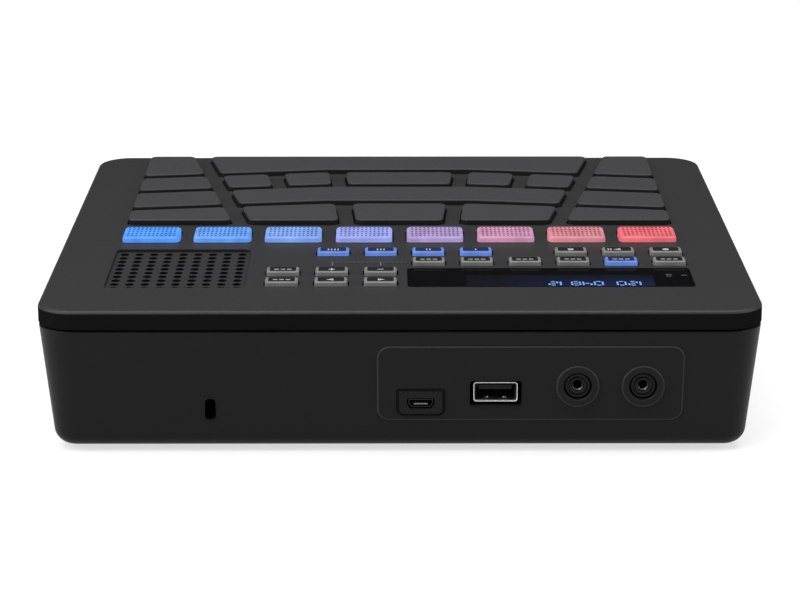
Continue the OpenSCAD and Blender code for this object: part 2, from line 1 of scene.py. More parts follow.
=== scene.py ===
# Finger drum pad, dressed: moulded case, rubber pads, lit pads, buttons, display and rear sockets.
# Shapes are worked out in millimetres, in the part's own frame, and turned into metres by piece().
import json
import math

import bmesh
import bpy
from mathutils import Matrix, Vector
from mathutils.geometry import delaunay_2d_cdt


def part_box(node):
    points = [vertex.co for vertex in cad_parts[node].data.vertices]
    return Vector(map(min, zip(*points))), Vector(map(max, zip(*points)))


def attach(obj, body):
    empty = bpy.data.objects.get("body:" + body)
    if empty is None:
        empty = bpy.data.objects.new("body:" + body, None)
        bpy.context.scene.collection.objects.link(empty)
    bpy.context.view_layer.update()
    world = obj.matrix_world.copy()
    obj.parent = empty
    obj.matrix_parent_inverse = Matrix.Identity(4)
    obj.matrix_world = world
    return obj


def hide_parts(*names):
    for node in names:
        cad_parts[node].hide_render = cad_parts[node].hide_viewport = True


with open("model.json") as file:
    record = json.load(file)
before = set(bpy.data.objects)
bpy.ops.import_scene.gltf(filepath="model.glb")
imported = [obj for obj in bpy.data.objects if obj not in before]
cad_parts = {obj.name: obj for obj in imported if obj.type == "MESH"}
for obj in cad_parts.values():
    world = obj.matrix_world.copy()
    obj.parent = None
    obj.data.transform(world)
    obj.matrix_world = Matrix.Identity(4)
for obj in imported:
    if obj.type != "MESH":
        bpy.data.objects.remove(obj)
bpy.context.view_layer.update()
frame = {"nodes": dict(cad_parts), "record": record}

MM = 0.001
RECORD = frame["record"]
SLOTS = {entry["node"]: entry["material_slot"] for entry in RECORD["subparts"]}
COLOURS = {entry["slot"]: entry["base_color"] for entry in RECORD["materials"]}
CASE = "case"


def node_box(name):
    """Lowest and highest corner of a node, in millimetres."""
    low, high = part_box(name)
    return low / MM, high / MM


def middle_of(name):
    low, high = node_box(name)
    return (low + high) / 2


def nodes_named(start):
    """The nodes whose names begin alike, in order."""
    return sorted(name for name in frame["nodes"] if name.startswith(start))


# Sizes of the case
LID_LOW, LID_HIGH = node_box("lid")
CASE_W = LID_HIGH.x - LID_LOW.x
CASE_D = LID_HIGH.y - LID_LOW.y
PANEL_Z = LID_HIGH.z
PANEL_T = 2.2
UNDER_Z = PANEL_Z - PANEL_T
BAND_H = 6.3
BAND_T = 1.6
LID_CORNER_R = 12
LID_EDGE_R = 1.3
LID_RIM_R = 0.3
LID_Z = PANEL_Z - BAND_H
SEAM_GAP = 0.6
SEAM_Z = LID_Z - SEAM_GAP
SEAM_CHAMFER = 0.35
TUB_INSET = 0.5
TUB_SIDE_INSET = 0.1
TUB_Z = node_box("rubber_feet")[1].z
TUB_SKIRT = 1.5
TUB_LOW_Z = TUB_Z - TUB_SKIRT
TUB_EDGE_R = 4.8
WALL_T = 2.4
FLOOR_Z = TUB_Z + WALL_T
LEAN = math.tan(math.radians(5.9))
LIP_H = 2.2
LIP_FIT = 0.3
CORNER_STEPS = 14

# Sizes of the keys and their openings
KEY_GAP = 0.5
FLANGE_W = 0.9
OPENING_EDGE_R = 0.25
FINE_EDGE_R = OPENING_EDGE_R / 2
PAD_SOLID_EDGE_R = 0.7
PAD_EDGE_R = 0.55
LIGHT_EDGE_R = 0.8
LIGHT_CORNER_R = 1.8
BUTTON_EDGE_R = 0.45
BUTTON_CORNER_R = 1.2

# A side of a key's outline that is shorter than this is a chord of a rounded corner
ARC_CHORD = 3

# Finer sizes
SHARP_ANGLE = math.radians(34)
PRINT_T = 0.04
SAME_PLACE = 1e-6


# Outlines

def unit(a, b):
    return (b - a).normalized()


def outward(u):
    """The right-hand side of a heading, which lies outside an anticlockwise outline."""
    return Vector((u.y, -u.x))


def turn(a, b, c):
    """Signed angle between the headings before and after point b."""
    u = unit(a, b)
    v = unit(b, c)
    return math.atan2(u.x * v.y - u.y * v.x, u.dot(v))


def corner_arc(a, b, c, radius, steps):
    """Points that round corner b between a and c."""
    u = unit(a, b)
    angle = turn(a, b, c)
    start = b - u * radius * math.tan(abs(angle) / 2)
    spoke = outward(u) * math.copysign(radius, angle)
    return [start - spoke + Matrix.Rotation(angle * i / steps, 2) @ spoke for i in range(steps + 1)]


def rounded(corners, steps):
    """An outline with each corner (x, y, radius) rounded."""
    points = [Vector(corner[:2]) for corner in corners]
    count = len(points)
    outline = []
    for i, corner in enumerate(corners):
        outline += corner_arc(points[i - 1], points[i], points[(i + 1) % count], corner[2], steps)
    return outline


def polygon(*points):
    return [Vector(point) for point in points]


def bar(x, y, w, d):
    """A sharp rectangle about a centre, from its low left corner."""
    left, right, front, rear = x - w / 2, x + w / 2, y - d / 2, y + d / 2
    return polygon((left, front), (right, front), (right, rear), (left, rear))


def rectangle(x, y, w, d, r, steps=5):
    """A rounded rectangle about a centre."""
    return rounded([(*corner, r) for corner in bar(x, y, w, d)], steps)


def box_rectangle(low, high, r):
    """The rounded rectangle that fills a box, seen from above."""
    return rectangle((low.x + high.x) / 2, (low.y + high.y) / 2, high.x - low.x, high.y - low.y, r)


def circle(x, y, radius, count):
    angles = [2 * math.pi * i / count for i in range(count)]
    return [Vector((x + radius * math.cos(a), y + radius * math.sin(a))) for a in angles]


def moved(outline, x, y):
    return [point + Vector((x, y)) for point in outline]


def grown(outline, distance):
    """The outline moved outwards by a distance, or inwards if that is negative."""
    count = len(outline)
    result = []
    for i, point in enumerate(outline):
        a = outward(unit(outline[i - 1], point))
        b = outward(unit(point, outline[(i + 1) % count]))
        result.append(point + distance * (a + b) / (1 + a.dot(b)))
    return result


def refined(outline):
    """The outline with a point added on the arc over each short chord."""
    count = len(outline)
    result = []
    for i, b in enumerate(outline):
        a, c, d = outline[i - 1], outline[(i + 1) % count], outline[(i + 2) % count]
        result.append(b)
        length = (c - b).length
        if length < ARC_CHORD:
            angle = max(turn(a, b, c), turn(b, c, d), key=abs)
            result.append((b + c) / 2 + outward(unit(b, c)) * length / 2 * math.tan(angle / 4))
    return result


def inside(point, outline):
    """Whether a point lies within an outline."""
    result = False
    for i, b in enumerate(outline):
        a = outline[i - 1]
        if (a.y > point.y) != (b.y > point.y):
            if point.x < a.x + (point.y - a.y) / (b.y - a.y) * (b.x - a.x):
                result = not result
    return result


def top_outline(node, edge_r):
    """The outline of a key, found from the flat top of its node and the rounding of its edge."""
    mesh = bmesh.new()
    mesh.from_mesh(frame["nodes"][node].data)
    bmesh.ops.remove_doubles(mesh, verts=mesh.verts, dist=SAME_PLACE)
    top_z = max(vert.co.z for vert in mesh.verts)
    top = {face for face in mesh.faces if min(vert.co.z for vert in face.verts) > top_z - SAME_PLACE}
    follower = {}
    for face in top:
        for loop in face.loops:
            if loop.link_loop_radial_next.face not in top:
                follower[loop.vert] = loop.link_loop_next.vert
    first = min(follower, key=lambda vert: tuple(vert.co))
    outline = [first.co.xy / MM]
    vert = follower[first]
    while vert is not first:
        outline.append(vert.co.xy / MM)
        vert = follower[vert]
    mesh.free()
    return refined(grown(outline, edge_r))


# Meshes

class Solid:
    """A mesh put together from rings of points, walls between them and flat sheets, each with a finish."""

    def __init__(self, finish):
        self.mesh = bmesh.new()
        self.finishes = [finish]

    def ring(self, outline, place):
        return [self.mesh.verts.new(place(point)) for point in outline]

    def face(self, verts, finish=None):
        """One face, in the solid's first finish where no other is named."""
        finish = finish or self.finishes[0]
        if finish not in self.finishes:
            self.finishes.append(finish)
        self.mesh.faces.new(verts).material_index = self.finishes.index(finish)

    def walls(self, rings, finish=None, skip=None):
        """Joins neighbouring rings of one count, but leaves out the side numbered skip."""
        for first, second in zip(rings, rings[1:]):
            count = len(first)
            for i in range(count):
                j = (i + 1) % count
                if i != skip:
                    self.face((first[i], first[j], second[j], second[i]), finish)

    def sheet(self, outer, holes=(), finish=None, upright=False):
        """Fills a flat ring with triangles, around the holes in it."""
        loops = [outer, *holes]
        verts = [vert for loop in loops for vert in loop]
        owner = [k for k, loop in enumerate(loops) for vert in loop]
        outlines = [[vert.co.xz if upright else vert.co.xy for vert in loop] for loop in loops]
        flat = [point for outline in outlines for point in outline]
        edges = []
        for loop in loops:
            start = len(edges)
            edges += [(start + i, start + (i + 1) % len(loop)) for i in range(len(loop))]
        _, _, triangles, origins, _, _ = delaunay_2d_cdt(flat, edges, [], 1, SAME_PLACE)
        for triangle in triangles:
            corners = [origins[i][0] for i in triangle]
            owners = {owner[i] for i in corners}
            if len(owners) == 1:
                k = owners.pop()
                middle = sum((flat[i] for i in corners), Vector((0, 0))) / 3
                if inside(middle, outlines[k]) != (k == 0):
                    continue
            self.face([verts[i] for i in corners], finish)

    def closed(self, rings, finish=None, upright=False):
        """Walls between rings, with a sheet at both ends."""
        self.walls(rings, finish)
        self.sheet(rings[0], finish=finish, upright=upright)
        self.sheet(rings[-1], finish=finish, upright=upright)

    def prism(self, outline, z_low, z_high, finish=None):
        """A straight block over an outline."""
        self.closed([self.ring(outline, level(z)) for z in (z_low, z_high)], finish)

    def mark(self, outline, z, finish=None):
        """A thin printed mark, half sunk in the face at height z."""
        self.prism(outline, z - PRINT_T, z + PRINT_T, finish)

    def turned(self, profile, place, count):
        """A solid turned about an axis, through (radius, height) points that start and end in a disc."""
        rings = [self.ring(circle(0, 0, radius, count), place(height)) for radius, height in profile]
        self.walls(rings)
        self.face(rings[0])
        self.face(rings[-1])


def level(z):
    """Puts plan points at height z."""
    return lambda point: (point.x, point.y, z)


def standing(x, y):
    """Puts the rings of a solid turned about an upright axis at x and y."""
    return lambda height: lambda point: (x + point.x, y + point.y, height)


def upright(depth):
    """Puts points of a rear view, which hold x and z, at the depth found for their height."""
    return lambda point: (point.x, depth(point.y), point.y)


def at_depth(y):
    """Puts points of a rear view at one depth."""
    return upright(lambda z: y)


def edge_steps(radius, steps):
    """(outward distance, height) pairs of a quarter-round edge that ends at height 0."""
    angles = [math.pi / 2 * i / steps for i in range(steps + 1)]
    return [(radius * (math.cos(a) - 1), radius * (math.sin(a) - 1)) for a in angles]


def new_object(name, data):
    made = bpy.data.objects.new(name, data)
    bpy.context.scene.collection.objects.link(made)
    return made


def piece(name, solid, slot, body=CASE, stands_for=()):
    """Makes an object of a solid, which moves with a body and stands for nodes of the part."""
    bmesh.ops.recalc_face_normals(solid.mesh, faces=solid.mesh.faces)
    mesh = bpy.data.meshes.new(name)
    solid.mesh.to_mesh(mesh)
    solid.mesh.free()
    mesh.transform(Matrix.Scale(MM, 4))
    for finish in solid.finishes:
        mesh.materials.append(finish.material)
    mesh.shade_smooth()
    mesh.set_sharp_from_angle(angle=SHARP_ANGLE)
    made = new_object(name, mesh)
    made.modifiers.new("flat_faces", "WEIGHTED_NORMAL").keep_sharp = True
    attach(made, body)
    if stands_for:
        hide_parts(*stands_for)


# Finishes

class Finish:
    """A material whose colour, roughness and relief come from textures in the part's own frame."""

    def __init__(self, name):
        self.material = bpy.data.materials.new(name)
        self.material.use_nodes = True
        self.nodes = self.material.node_tree.nodes
        self.links = self.material.node_tree.links
        self.shader = self.nodes["Principled BSDF"]
        self.place = self.nodes.new("ShaderNodeTexCoord").outputs["Object"]

    def feed(self, target, value):
        """Gives an input a value or another node's output."""
        if isinstance(value, bpy.types.NodeSocket):
            self.links.new(value, target)
        else:
            target.default_value = value

    def set(self, **values):
        """Feeds inputs of the shader, named with underscores for spaces."""
        for name, value in values.items():
            self.feed(self.shader.inputs[name.replace("_", " ")], value)
        return self

    def noise(self, size, detail=2, stretch=(1, 1, 1)):
        """Noise with features of a size in millimetres."""
        mapping = self.nodes.new("ShaderNodeMapping")
        mapping.inputs["Scale"].default_value = stretch
        texture = self.nodes.new("ShaderNodeTexNoise")
        texture.inputs["Scale"].default_value = 1 / (size * MM)
        texture.inputs["Detail"].default_value = detail
        self.links.new(self.place, mapping.inputs["Vector"])
        self.links.new(mapping.outputs["Vector"], texture.inputs["Vector"])
        return texture.outputs["Fac"]

    def ramp(self, value, low, high, out_low, out_high):
        """A value taken from one range to another."""
        node = self.nodes.new("ShaderNodeMapRange")
        self.links.new(value, node.inputs["Value"])
        limits = {"From Min": low, "From Max": high, "To Min": out_low, "To Max": out_high}
        for name, number in limits.items():
            node.inputs[name].default_value = number
        return node.outputs["Result"]

    def mix(self, value, first, second):
        """A colour between two others."""
        node = self.nodes.new("ShaderNodeMix")
        node.data_type = "RGBA"
        self.links.new(value, node.inputs["Factor"])
        for name, colour in {"A": first, "B": second}.items():
            target = [socket for socket in node.inputs if socket.name == name and socket.type == "RGBA"][0]
            self.feed(target, colour)
        return [socket for socket in node.outputs if socket.type == "RGBA"][0]

    def along(self, axis):
        """Place along an axis of the part's frame, in metres."""
        split = self.nodes.new("ShaderNodeSeparateXYZ")
        self.links.new(self.place, split.inputs["Vector"])
        return split.outputs[axis]

    def relief(self, value, depth):
        """Bumps of a depth in millimetres."""
        node = self.nodes.new("ShaderNodeBump")
        node.inputs["Strength"].default_value = 1
        node.inputs["Distance"].default_value = depth * MM
        self.links.new(value, node.inputs["Height"])
        self.set(Normal=node.outputs["Normal"])


def toned(colour, share):
    """An opaque colour made lighter or darker by a share."""
    return [*[channel * share for channel in colour[:3]], 1]


# Stretches of a noise texture that are spread out over a finish
GRAIN_RANGE = (0.3, 0.7)
CLOUD_RANGE = (0.35, 0.65)
SPOT_RANGE = (0.35, 0.7)

# Sizes of the larger features, in millimetres, and how strongly clouds cover the grain
CLOUD_SIZE = 28
CLOUD_SHARE = 0.5
SPOT_SIZE = 5.5
DRAWING_LINE = 0.25
DRAWING_STRETCH = (0.15, 1, 1)


def moulded(name, colour, rough, gloss=0.5, grain=0.35, depth=0.03, spread=0.12, rough_spread=0.07):
    """Moulded plastic or rubber with a fine spark-eroded grain and slight clouds of tone."""
    finish = Finish(name).set(Specular_IOR_Level=gloss)
    fine = finish.noise(grain, detail=3)
    clouds = finish.noise(CLOUD_SIZE)
    specks = finish.ramp(fine, *GRAIN_RANGE, 0, 1)
    grainy = finish.mix(specks, toned(colour, 1 - spread), toned(colour, 1 + spread))
    cover = finish.ramp(clouds, *CLOUD_RANGE, 0, CLOUD_SHARE)
    finish.set(Base_Color=finish.mix(cover, grainy, toned(colour, 1 + spread / 2)))
    finish.set(Roughness=finish.ramp(fine, *GRAIN_RANGE, rough - rough_spread, rough + rough_spread))
    finish.relief(fine, depth)
    return finish


def metal(name, colour, rough, rough_spread=0.06):
    """Plated sheet metal with fine drawing lines."""
    finish = Finish(name).set(Metallic=1)
    lines = finish.noise(DRAWING_LINE, stretch=DRAWING_STRETCH)
    finish.set(Base_Color=finish.mix(lines, toned(colour, 0.88), toned(colour, 1.08)))
    finish.set(Roughness=finish.ramp(lines, *GRAIN_RANGE, rough - rough_spread, rough + rough_spread))
    finish.relief(lines, 0.004)
    return finish


def lit(name, colour, glow, own=0.15):
    """Translucent plastic lit from below, with soft spots of brighter light; the grey buttons' glow is
    painted light, as they are unlit.
    """
    finish = Finish(name).set(Roughness=0.42, Specular_IOR_Level=0.25)
    spots = finish.noise(SPOT_SIZE, detail=1)
    finish.set(Base_Color=finish.mix(spots, toned(colour, own * 0.9), toned(colour, own * 1.1)))
    bright = finish.ramp(spots, *SPOT_RANGE, 0, 1)
    finish.set(Emission_Color=finish.mix(bright, toned(colour, 0.82), toned(colour, 1.12)))
    finish.set(Emission_Strength=glow)
    finish.relief(finish.noise(0.4), 0.01)
    return finish


PAD_GRAIN = {"grain": 0.3, "depth": 0.02, "spread": 0.08}
LABEL_GRAIN = {"grain": 0.3, "depth": 0.01, "gloss": 0.15}
PRINT_GRAIN = {"grain": 0.2, "depth": 0.005}
lid_finish = moulded("lid_plastic", (0.0130, 0.0130, 0.0135), 0.48, gloss=0.2)
# Painted shade: the panel's plastic made darker for the band's sides, the grille holes' walls and the small
# USB boss's edges
painted_shade_finish = moulded("lid_band", (0.0058, 0.0058, 0.0058), 0.5, gloss=0)
tub_finish = moulded("tub_plastic", (0.0084, 0.0084, 0.0086), 0.42, gloss=0.08)
# Painted highlight: the tub's plastic made lighter and glossier for the raised edges of the port panel and
# the jack bosses
painted_highlight_finish = moulded("tub_edge_painted_highlight", (0.024, 0.024, 0.0245), 0.42, gloss=0.12)
pad_finish = moulded("pad_rubber", (0.0197, 0.0197, 0.0208), 0.6, gloss=0.2, **PAD_GRAIN)
# Painted shade: the pads' rubber made darker for their sides and underside
painted_shade_rubber = moulded("pad_side_painted_shade", (0.010, 0.010, 0.0106), 0.7, gloss=0.05, **PAD_GRAIN)
foot_finish = moulded("foot_rubber", COLOURS["foot_rubber"], 0.75, grain=0.5, depth=0.05)
jack_finish = moulded("jack_plastic", (0.006, 0.006, 0.0065), 0.4, gloss=0.15, grain=0.4, depth=0.01)
speaker_finish = moulded("speaker_black", COLOURS["speaker_black"], 0.8, grain=0.6, depth=0.05)
board_finish = moulded("board_green", COLOURS["board_green"], 0.4, grain=0.8, depth=0.02)
battery_finish = moulded("battery_wrap", COLOURS["battery_wrap"], 0.3, grain=2, depth=0.05)
steel_finish = metal("socket_steel", COLOURS["socket_steel"], 0.28)
# Painted shade: the sockets' steel made darker inside the large USB socket and on the jacks' spring sleeves
painted_shade_steel = metal("socket_steel_painted_shade", (0.13, 0.13, 0.125), 0.42)
# Painted shade: the small USB socket's steel made near black, as the shade in its opening
painted_black_shade_steel = metal("socket_steel_painted_black_shade", (0.03, 0.03, 0.03), 0.42)
tongue_finish = moulded("socket_tongue", (0.22, 0.22, 0.21), 0.5, **PRINT_GRAIN)
screw_finish = metal("screw_steel", COLOURS["screw_steel"], 0.35)
window_finish = moulded(
    "window_gloss", (0.0014, 0.0014, 0.0017), 0.08, gloss=0.02, grain=6, depth=0.004, rough_spread=0.02,
)
module_finish = moulded("display_glow", COLOURS["display_glow"], 0.3)
# Painted light: the grey buttons are unlit, and their glow only brightens them
painted_glow_grey_button = lit("button_grey", (0.1, 0.1, 0.1), 0.62, own=0.8)
blue_finish = lit("button_blue", (0.13, 0.24, 0.68), 0.8)
label_finish = moulded("label_black", (0.006, 0.006, 0.007), 0.4, **LABEL_GRAIN)
blue_label_finish = moulded("label_navy", (0.008, 0.012, 0.036), 0.4, **LABEL_GRAIN)
print_finish = moulded("print_grey", (0.24, 0.24, 0.24), 0.5, **PRINT_GRAIN)
faint_print_finish = moulded("print_faint", (0.06, 0.06, 0.06), 0.5, **PRINT_GRAIN)
glyph_finish = lit("display_digit", (0.22, 0.45, 1.0), 0.9)


# Plans of the case, whose rear side follows the third rounded corner
LID_PLAN = rectangle(0, 0, CASE_W, CASE_D, LID_CORNER_R, CORNER_STEPS)
TUB_PLAN = rectangle(
    0, 0, CASE_W - 2 * TUB_SIDE_INSET, CASE_D - 2 * TUB_INSET, LID_CORNER_R - TUB_INSET, CORNER_STEPS,
)
REAR_SIDE = 3 * (CORNER_STEPS + 1) - 1

# Plans of the keys
PAD_ROWS = ("front_pad", "small_pad", "middle_pad", "rear_pad")
PAD_NODES = [name for row in PAD_ROWS for name in nodes_named(row)]
LIGHT_NODES = nodes_named("light_pad")
BUTTON_NODES = [name for name in sorted(frame["nodes"]) if "_button_" in name]


def flangeless_plan(node, corner_r):
    """The plan of a key with a straight flange all round, without that flange."""
    low, high = node_box(node)
    flange = Vector((FLANGE_W, FLANGE_W, 0))
    return box_rectangle(low + flange, high - flange, corner_r)


KEY_PLANS = {name: top_outline(name, PAD_SOLID_EDGE_R) for name in PAD_NODES}
KEY_PLANS.update({name: flangeless_plan(name, LIGHT_CORNER_R) for name in LIGHT_NODES})
KEY_PLANS.update({name: flangeless_plan(name, BUTTON_CORNER_R) for name in BUTTON_NODES})

# Display window and speaker grille, found from the nodes in them
WINDOW_LOW, WINDOW_HIGH = node_box("display_window")
WINDOW_FIT = 0.15
WINDOW_R = 1
WINDOW_EDGE_R = 0.2
WINDOW_LEDGE = 1.2
SPEAKER_MIDDLE = middle_of("speaker_driver")
GRILLE_SIDE = 46
GRILLE_DEPTH = 1
GRILLE_R = 1.5
GRILLE_BORDER = 2.8
GRILLE_COLUMNS = 9
GRILLE_ROWS = 10
GRILLE_HOLE_R = 1.35

# Case screws, the posts that they enter and the sinks for their heads
SCREW_FROM_SIDE = 13.5
SCREW_FROM_END = 15
SCREW_X = CASE_W / 2 - SCREW_FROM_SIDE
SCREW_Y = CASE_D / 2 - SCREW_FROM_END
SCREW_PLACES = [(x, y) for x in (-SCREW_X, SCREW_X) for y in (-SCREW_Y, 0, SCREW_Y)]
SCREW_SEAT_Z = FLOOR_Z + 0.2
SCREW_FOOT_Z = FLOOR_Z + 2.6
SCREW_FOOT_R = 4.5
SCREW_BOSS_R = 3.5
SCREW_BORE_R = 1.5
SCREW_BORE_DEPTH = 14
SCREW_SINK_R = 3.1
SCREW_PASS_R = 1.75


# Lid

def opening(solid, plan, top_z, low_z, edge_r, finish=None):
    """A straight opening with a rounded edge, as its top and bottom rings."""
    rings = []
    for out, down in edge_steps(edge_r, steps=2):
        rings.append(solid.ring(grown(plan, -out), level(top_z - edge_r - down)))
    rings.reverse()
    rings.append(solid.ring(plan, level(low_z)))
    solid.walls(rings, finish)
    return rings[0], rings[-1]


def window_seat(solid):
    """The stepped opening that holds the window, as its top and bottom rings."""
    seat_plan = grown(box_rectangle(WINDOW_LOW, WINDOW_HIGH, WINDOW_R), WINDOW_FIT)
    top, seat = opening(solid, seat_plan, PANEL_Z, WINDOW_LOW.z, FINE_EDGE_R)
    ledge = Vector((WINDOW_LEDGE, WINDOW_LEDGE, 0))
    sight_plan = box_rectangle(WINDOW_LOW + ledge, WINDOW_HIGH - ledge, WINDOW_R)
    sight = solid.ring(sight_plan, level(WINDOW_LOW.z))
    sight_low = solid.ring(sight_plan, level(UNDER_Z))
    solid.sheet(seat, [sight])
    solid.walls([sight, sight_low])
    return top, sight_low


def speaker_grille(solid):
    """A shallow recess with a grid of holes, as its top ring and the holes' bottom rings."""
    recess_plan = rectangle(SPEAKER_MIDDLE.x, SPEAKER_MIDDLE.y, GRILLE_SIDE, GRILLE_SIDE, GRILLE_R)
    recess_z = PANEL_Z - GRILLE_DEPTH
    top, recess = opening(solid, recess_plan, PANEL_Z, recess_z, OPENING_EDGE_R)
    holes = []
    holes_low = []
    room = GRILLE_SIDE - 2 * GRILLE_BORDER
    columns = [i * room / (GRILLE_COLUMNS - 1) - room / 2 for i in range(GRILLE_COLUMNS)]
    rows = [i * room / (GRILLE_ROWS - 1) - room / 2 for i in range(GRILLE_ROWS)]
    for x, y in [(x, y) for x in columns for y in rows]:
        plan = circle(SPEAKER_MIDDLE.x + x, SPEAKER_MIDDLE.y + y, GRILLE_HOLE_R, count=20)
        # The holes' walls are painted darker as shade
        hole, hole_low = opening(solid, plan, recess_z, UNDER_Z, FINE_EDGE_R, painted_shade_finish)
        holes.append(hole)
        holes_low.append(hole_low)
    solid.sheet(recess, holes)
    return top, holes_low


def screw_bosses(solid):
    """Round posts under the panel, each with a blind bore for a screw."""
    profile = [
        (SCREW_BORE_R, SCREW_FOOT_Z + SCREW_BORE_DEPTH), (SCREW_BORE_R, SCREW_FOOT_Z),
        (SCREW_BOSS_R, SCREW_FOOT_Z), (SCREW_BOSS_R, UNDER_Z + PANEL_T / 2),
    ]
    for x, y in SCREW_PLACES:
        solid.turned(profile, standing(x, y), count=32)


def lid_shell():
    """The panel with its openings and the band around it, whose sides are painted darker as shade."""
    solid = Solid(lid_finish)
    inner_low = solid.ring(grown(LID_PLAN, -BAND_T), level(LID_Z))
    inner_high = solid.ring(grown(LID_PLAN, -BAND_T), level(UNDER_Z))
    skin = [inner_high, inner_low]
    for out, up in reversed(edge_steps(LID_RIM_R, steps=2)):
        skin.append(solid.ring(grown(LID_PLAN, out), level(LID_Z - up)))
    edge = []
    for out, up in edge_steps(LID_EDGE_R, steps=6):
        edge.append(solid.ring(grown(LID_PLAN, out), level(PANEL_Z + up)))
    # The band's sides are painted darker than the panel as shade
    solid.walls([*skin, *edge[:2]], painted_shade_finish)
    solid.walls(edge[1:])

    tops = []
    bottoms = []
    for plan in KEY_PLANS.values():
        top, bottom = opening(solid, grown(plan, KEY_GAP), PANEL_Z, UNDER_Z, OPENING_EDGE_R)
        tops.append(top)
        bottoms.append(bottom)
    window_top, window_bottom = window_seat(solid)
    grille_top, grille_bottoms = speaker_grille(solid)
    solid.sheet(edge[-1], [*tops, window_top, grille_top])
    solid.sheet(inner_high, [*bottoms, window_bottom, *grille_bottoms])
    screw_bosses(solid)
    piece("lid_shell", solid, "lid_plastic", stands_for=["lid"])


# Rear wall and its port panel
REAR_SEAM_Y = CASE_D / 2 - TUB_INSET
PORT_LEFT, PORT_RIGHT = -91, 7.4
PORT_LOW, PORT_HIGH = 11.5, 37.2
PORT_R = 4
PORT_RISE = 0.4
PORT_EDGE_R = 0.4
BOSS_FILLET = 0.1
LOCK_X, LOCK_Z = 61.2, 15.2
LOCK_W, LOCK_H, LOCK_R = 3.4, 7.4, 1.3


def outer_y(z):
    """How far back the rear wall's outer face lies at height z."""
    return REAR_SEAM_Y - (SEAM_Z - z) * LEAN


def port_y(z):
    """How far back the face of the raised port panel lies at height z."""
    return outer_y(z) + PORT_RISE


def inner_y(z):
    """How far back the rear wall's inner face lies at height z."""
    return outer_y(z) - WALL_T


# Jack bosses
JACKS = ["aux_jack", "phones_jack"]
JACK_UP = 20.5
JACK_Z = TUB_Z + JACK_UP
JACK_BUSH_R = 4.2
JACK_BUSH_GAP = 0.3
JACK_HOLE_CHAMFER = 0.25
JACK_BOSS_R = 6.9
JACK_BOSS_RISE = 0.15
JACK_BOSS_EDGE_R = 0.4
JACK_BOSS_Y = port_y(JACK_Z + JACK_BOSS_R) + JACK_BOSS_RISE

# Large USB socket
USB_A_LOW, USB_A_HIGH = node_box("usb_a_socket")
USB_A_LIP_W, USB_A_LIP_H, USB_A_LIP_R = 14.4, 6.7, 1
USB_A_CUT_W, USB_A_CUT_H, USB_A_CUT_R = 16.6, 8.7, 0.8
USB_A_X = middle_of("usb_a_socket").x
USB_A_Z = USB_A_HIGH.z - USB_A_LIP_H / 2

# Small USB socket, which is sunk in its boss
MICRO_LOW, MICRO_HIGH = node_box("usb_micro_socket")
MICRO_X, _, MICRO_Z = middle_of("usb_micro_socket")
MICRO_SINK = 0.9
MICRO_BOSS_Y = MICRO_HIGH.y + MICRO_SINK


def micro_outline(inset):
    """The small USB socket's opening, narrow below its shoulders, moved inwards by an inset."""
    half_top, half_foot, half_h, shoulder = 4.45, 3.3, 1.85, -0.2
    corners = polygon(
        (-half_foot, -half_h), (half_foot, -half_h), (half_top, shoulder),
        (half_top, half_h), (-half_top, half_h), (-half_top, shoulder),
    )
    corner_r, least_r = 0.6, 0.15
    radius = max(least_r, corner_r - inset)
    return rounded([(MICRO_X + p.x, MICRO_Z + p.y, radius) for p in grown(corners, -inset)], steps=3)


def sunk(solid, plan, from_y, to_y, edge_r):
    """A recess in the rear wall with a rounded edge, as its outer and inner rings."""
    rings = []
    for out, down in edge_steps(edge_r, steps=3):
        depth = edge_r + down
        rings.append(solid.ring(grown(plan, -out), upright(lambda z, d=depth: from_y(z) - d)))
    rings.reverse()
    rings.append(solid.ring(plan, upright(to_y)))
    solid.walls(rings)
    return rings[0], rings[-1]


def raised(solid, plan, from_y, to_y, edge_r, finish):
    """A boss on the rear wall with a rounded edge, as its base and face rings."""
    rings = [solid.ring(grown(plan, BOSS_FILLET), upright(from_y))]
    for out, up in edge_steps(edge_r, steps=4):
        share = 1 + up / edge_r

        def depth(z):
            start = max(from_y(z), to_y(z) - edge_r)
            return start + (to_y(z) - start) * share

        rings.append(solid.ring(grown(plan, out), upright(depth)))
    solid.walls(rings, finish)
    return rings[0], rings[-1]


def jack_boss(solid, node):
    """A round boss with a hole for a jack's bush, as its base ring and the hole's inner ring."""
    x = middle_of(node).x
    plan = circle(x, JACK_Z, JACK_BOSS_R, count=48)
    # The boss's rounded edge is painted lighter as a highlight
    base, face = raised(solid, plan, port_y, lambda z: JACK_BOSS_Y, JACK_BOSS_EDGE_R, painted_highlight_finish)
    hole = circle(x, JACK_Z, JACK_BUSH_R + JACK_BUSH_GAP, count=48)
    edge = solid.ring(grown(hole, JACK_HOLE_CHAMFER), at_depth(JACK_BOSS_Y))
    hole_mouth = solid.ring(hole, at_depth(JACK_BOSS_Y - JACK_HOLE_CHAMFER))
    hole_back = solid.ring(hole, upright(inner_y))
    solid.walls([face, edge, hole_mouth, hole_back])
    return base, hole_back


def micro_boss(solid):
    """The boss around the small USB socket, as its base ring and its opening's inner ring."""
    width, height, up = 15.7, 9.4, 0.4
    low_r, high_r, edge_r = 2.4, 1, 0.9
    left, right = MICRO_X - width / 2, MICRO_X + width / 2
    low = MICRO_Z + up - height / 2
    high = low + height
    corners = [(left, low, low_r), (right, low, low_r), (right, high, high_r), (left, high, high_r)]
    plan = rounded(corners, steps=6)
    # The boss's rounded edges are painted dark as its shadow
    base, face = raised(solid, plan, port_y, lambda z: MICRO_BOSS_Y, edge_r, painted_shade_finish)
    hole = solid.ring(micro_outline(0), at_depth(MICRO_BOSS_Y))
    hole_back = solid.ring(micro_outline(0), upright(inner_y))
    solid.sheet(face, [hole], upright=True)
    solid.walls([hole, hole_back])
    return base, hole_back


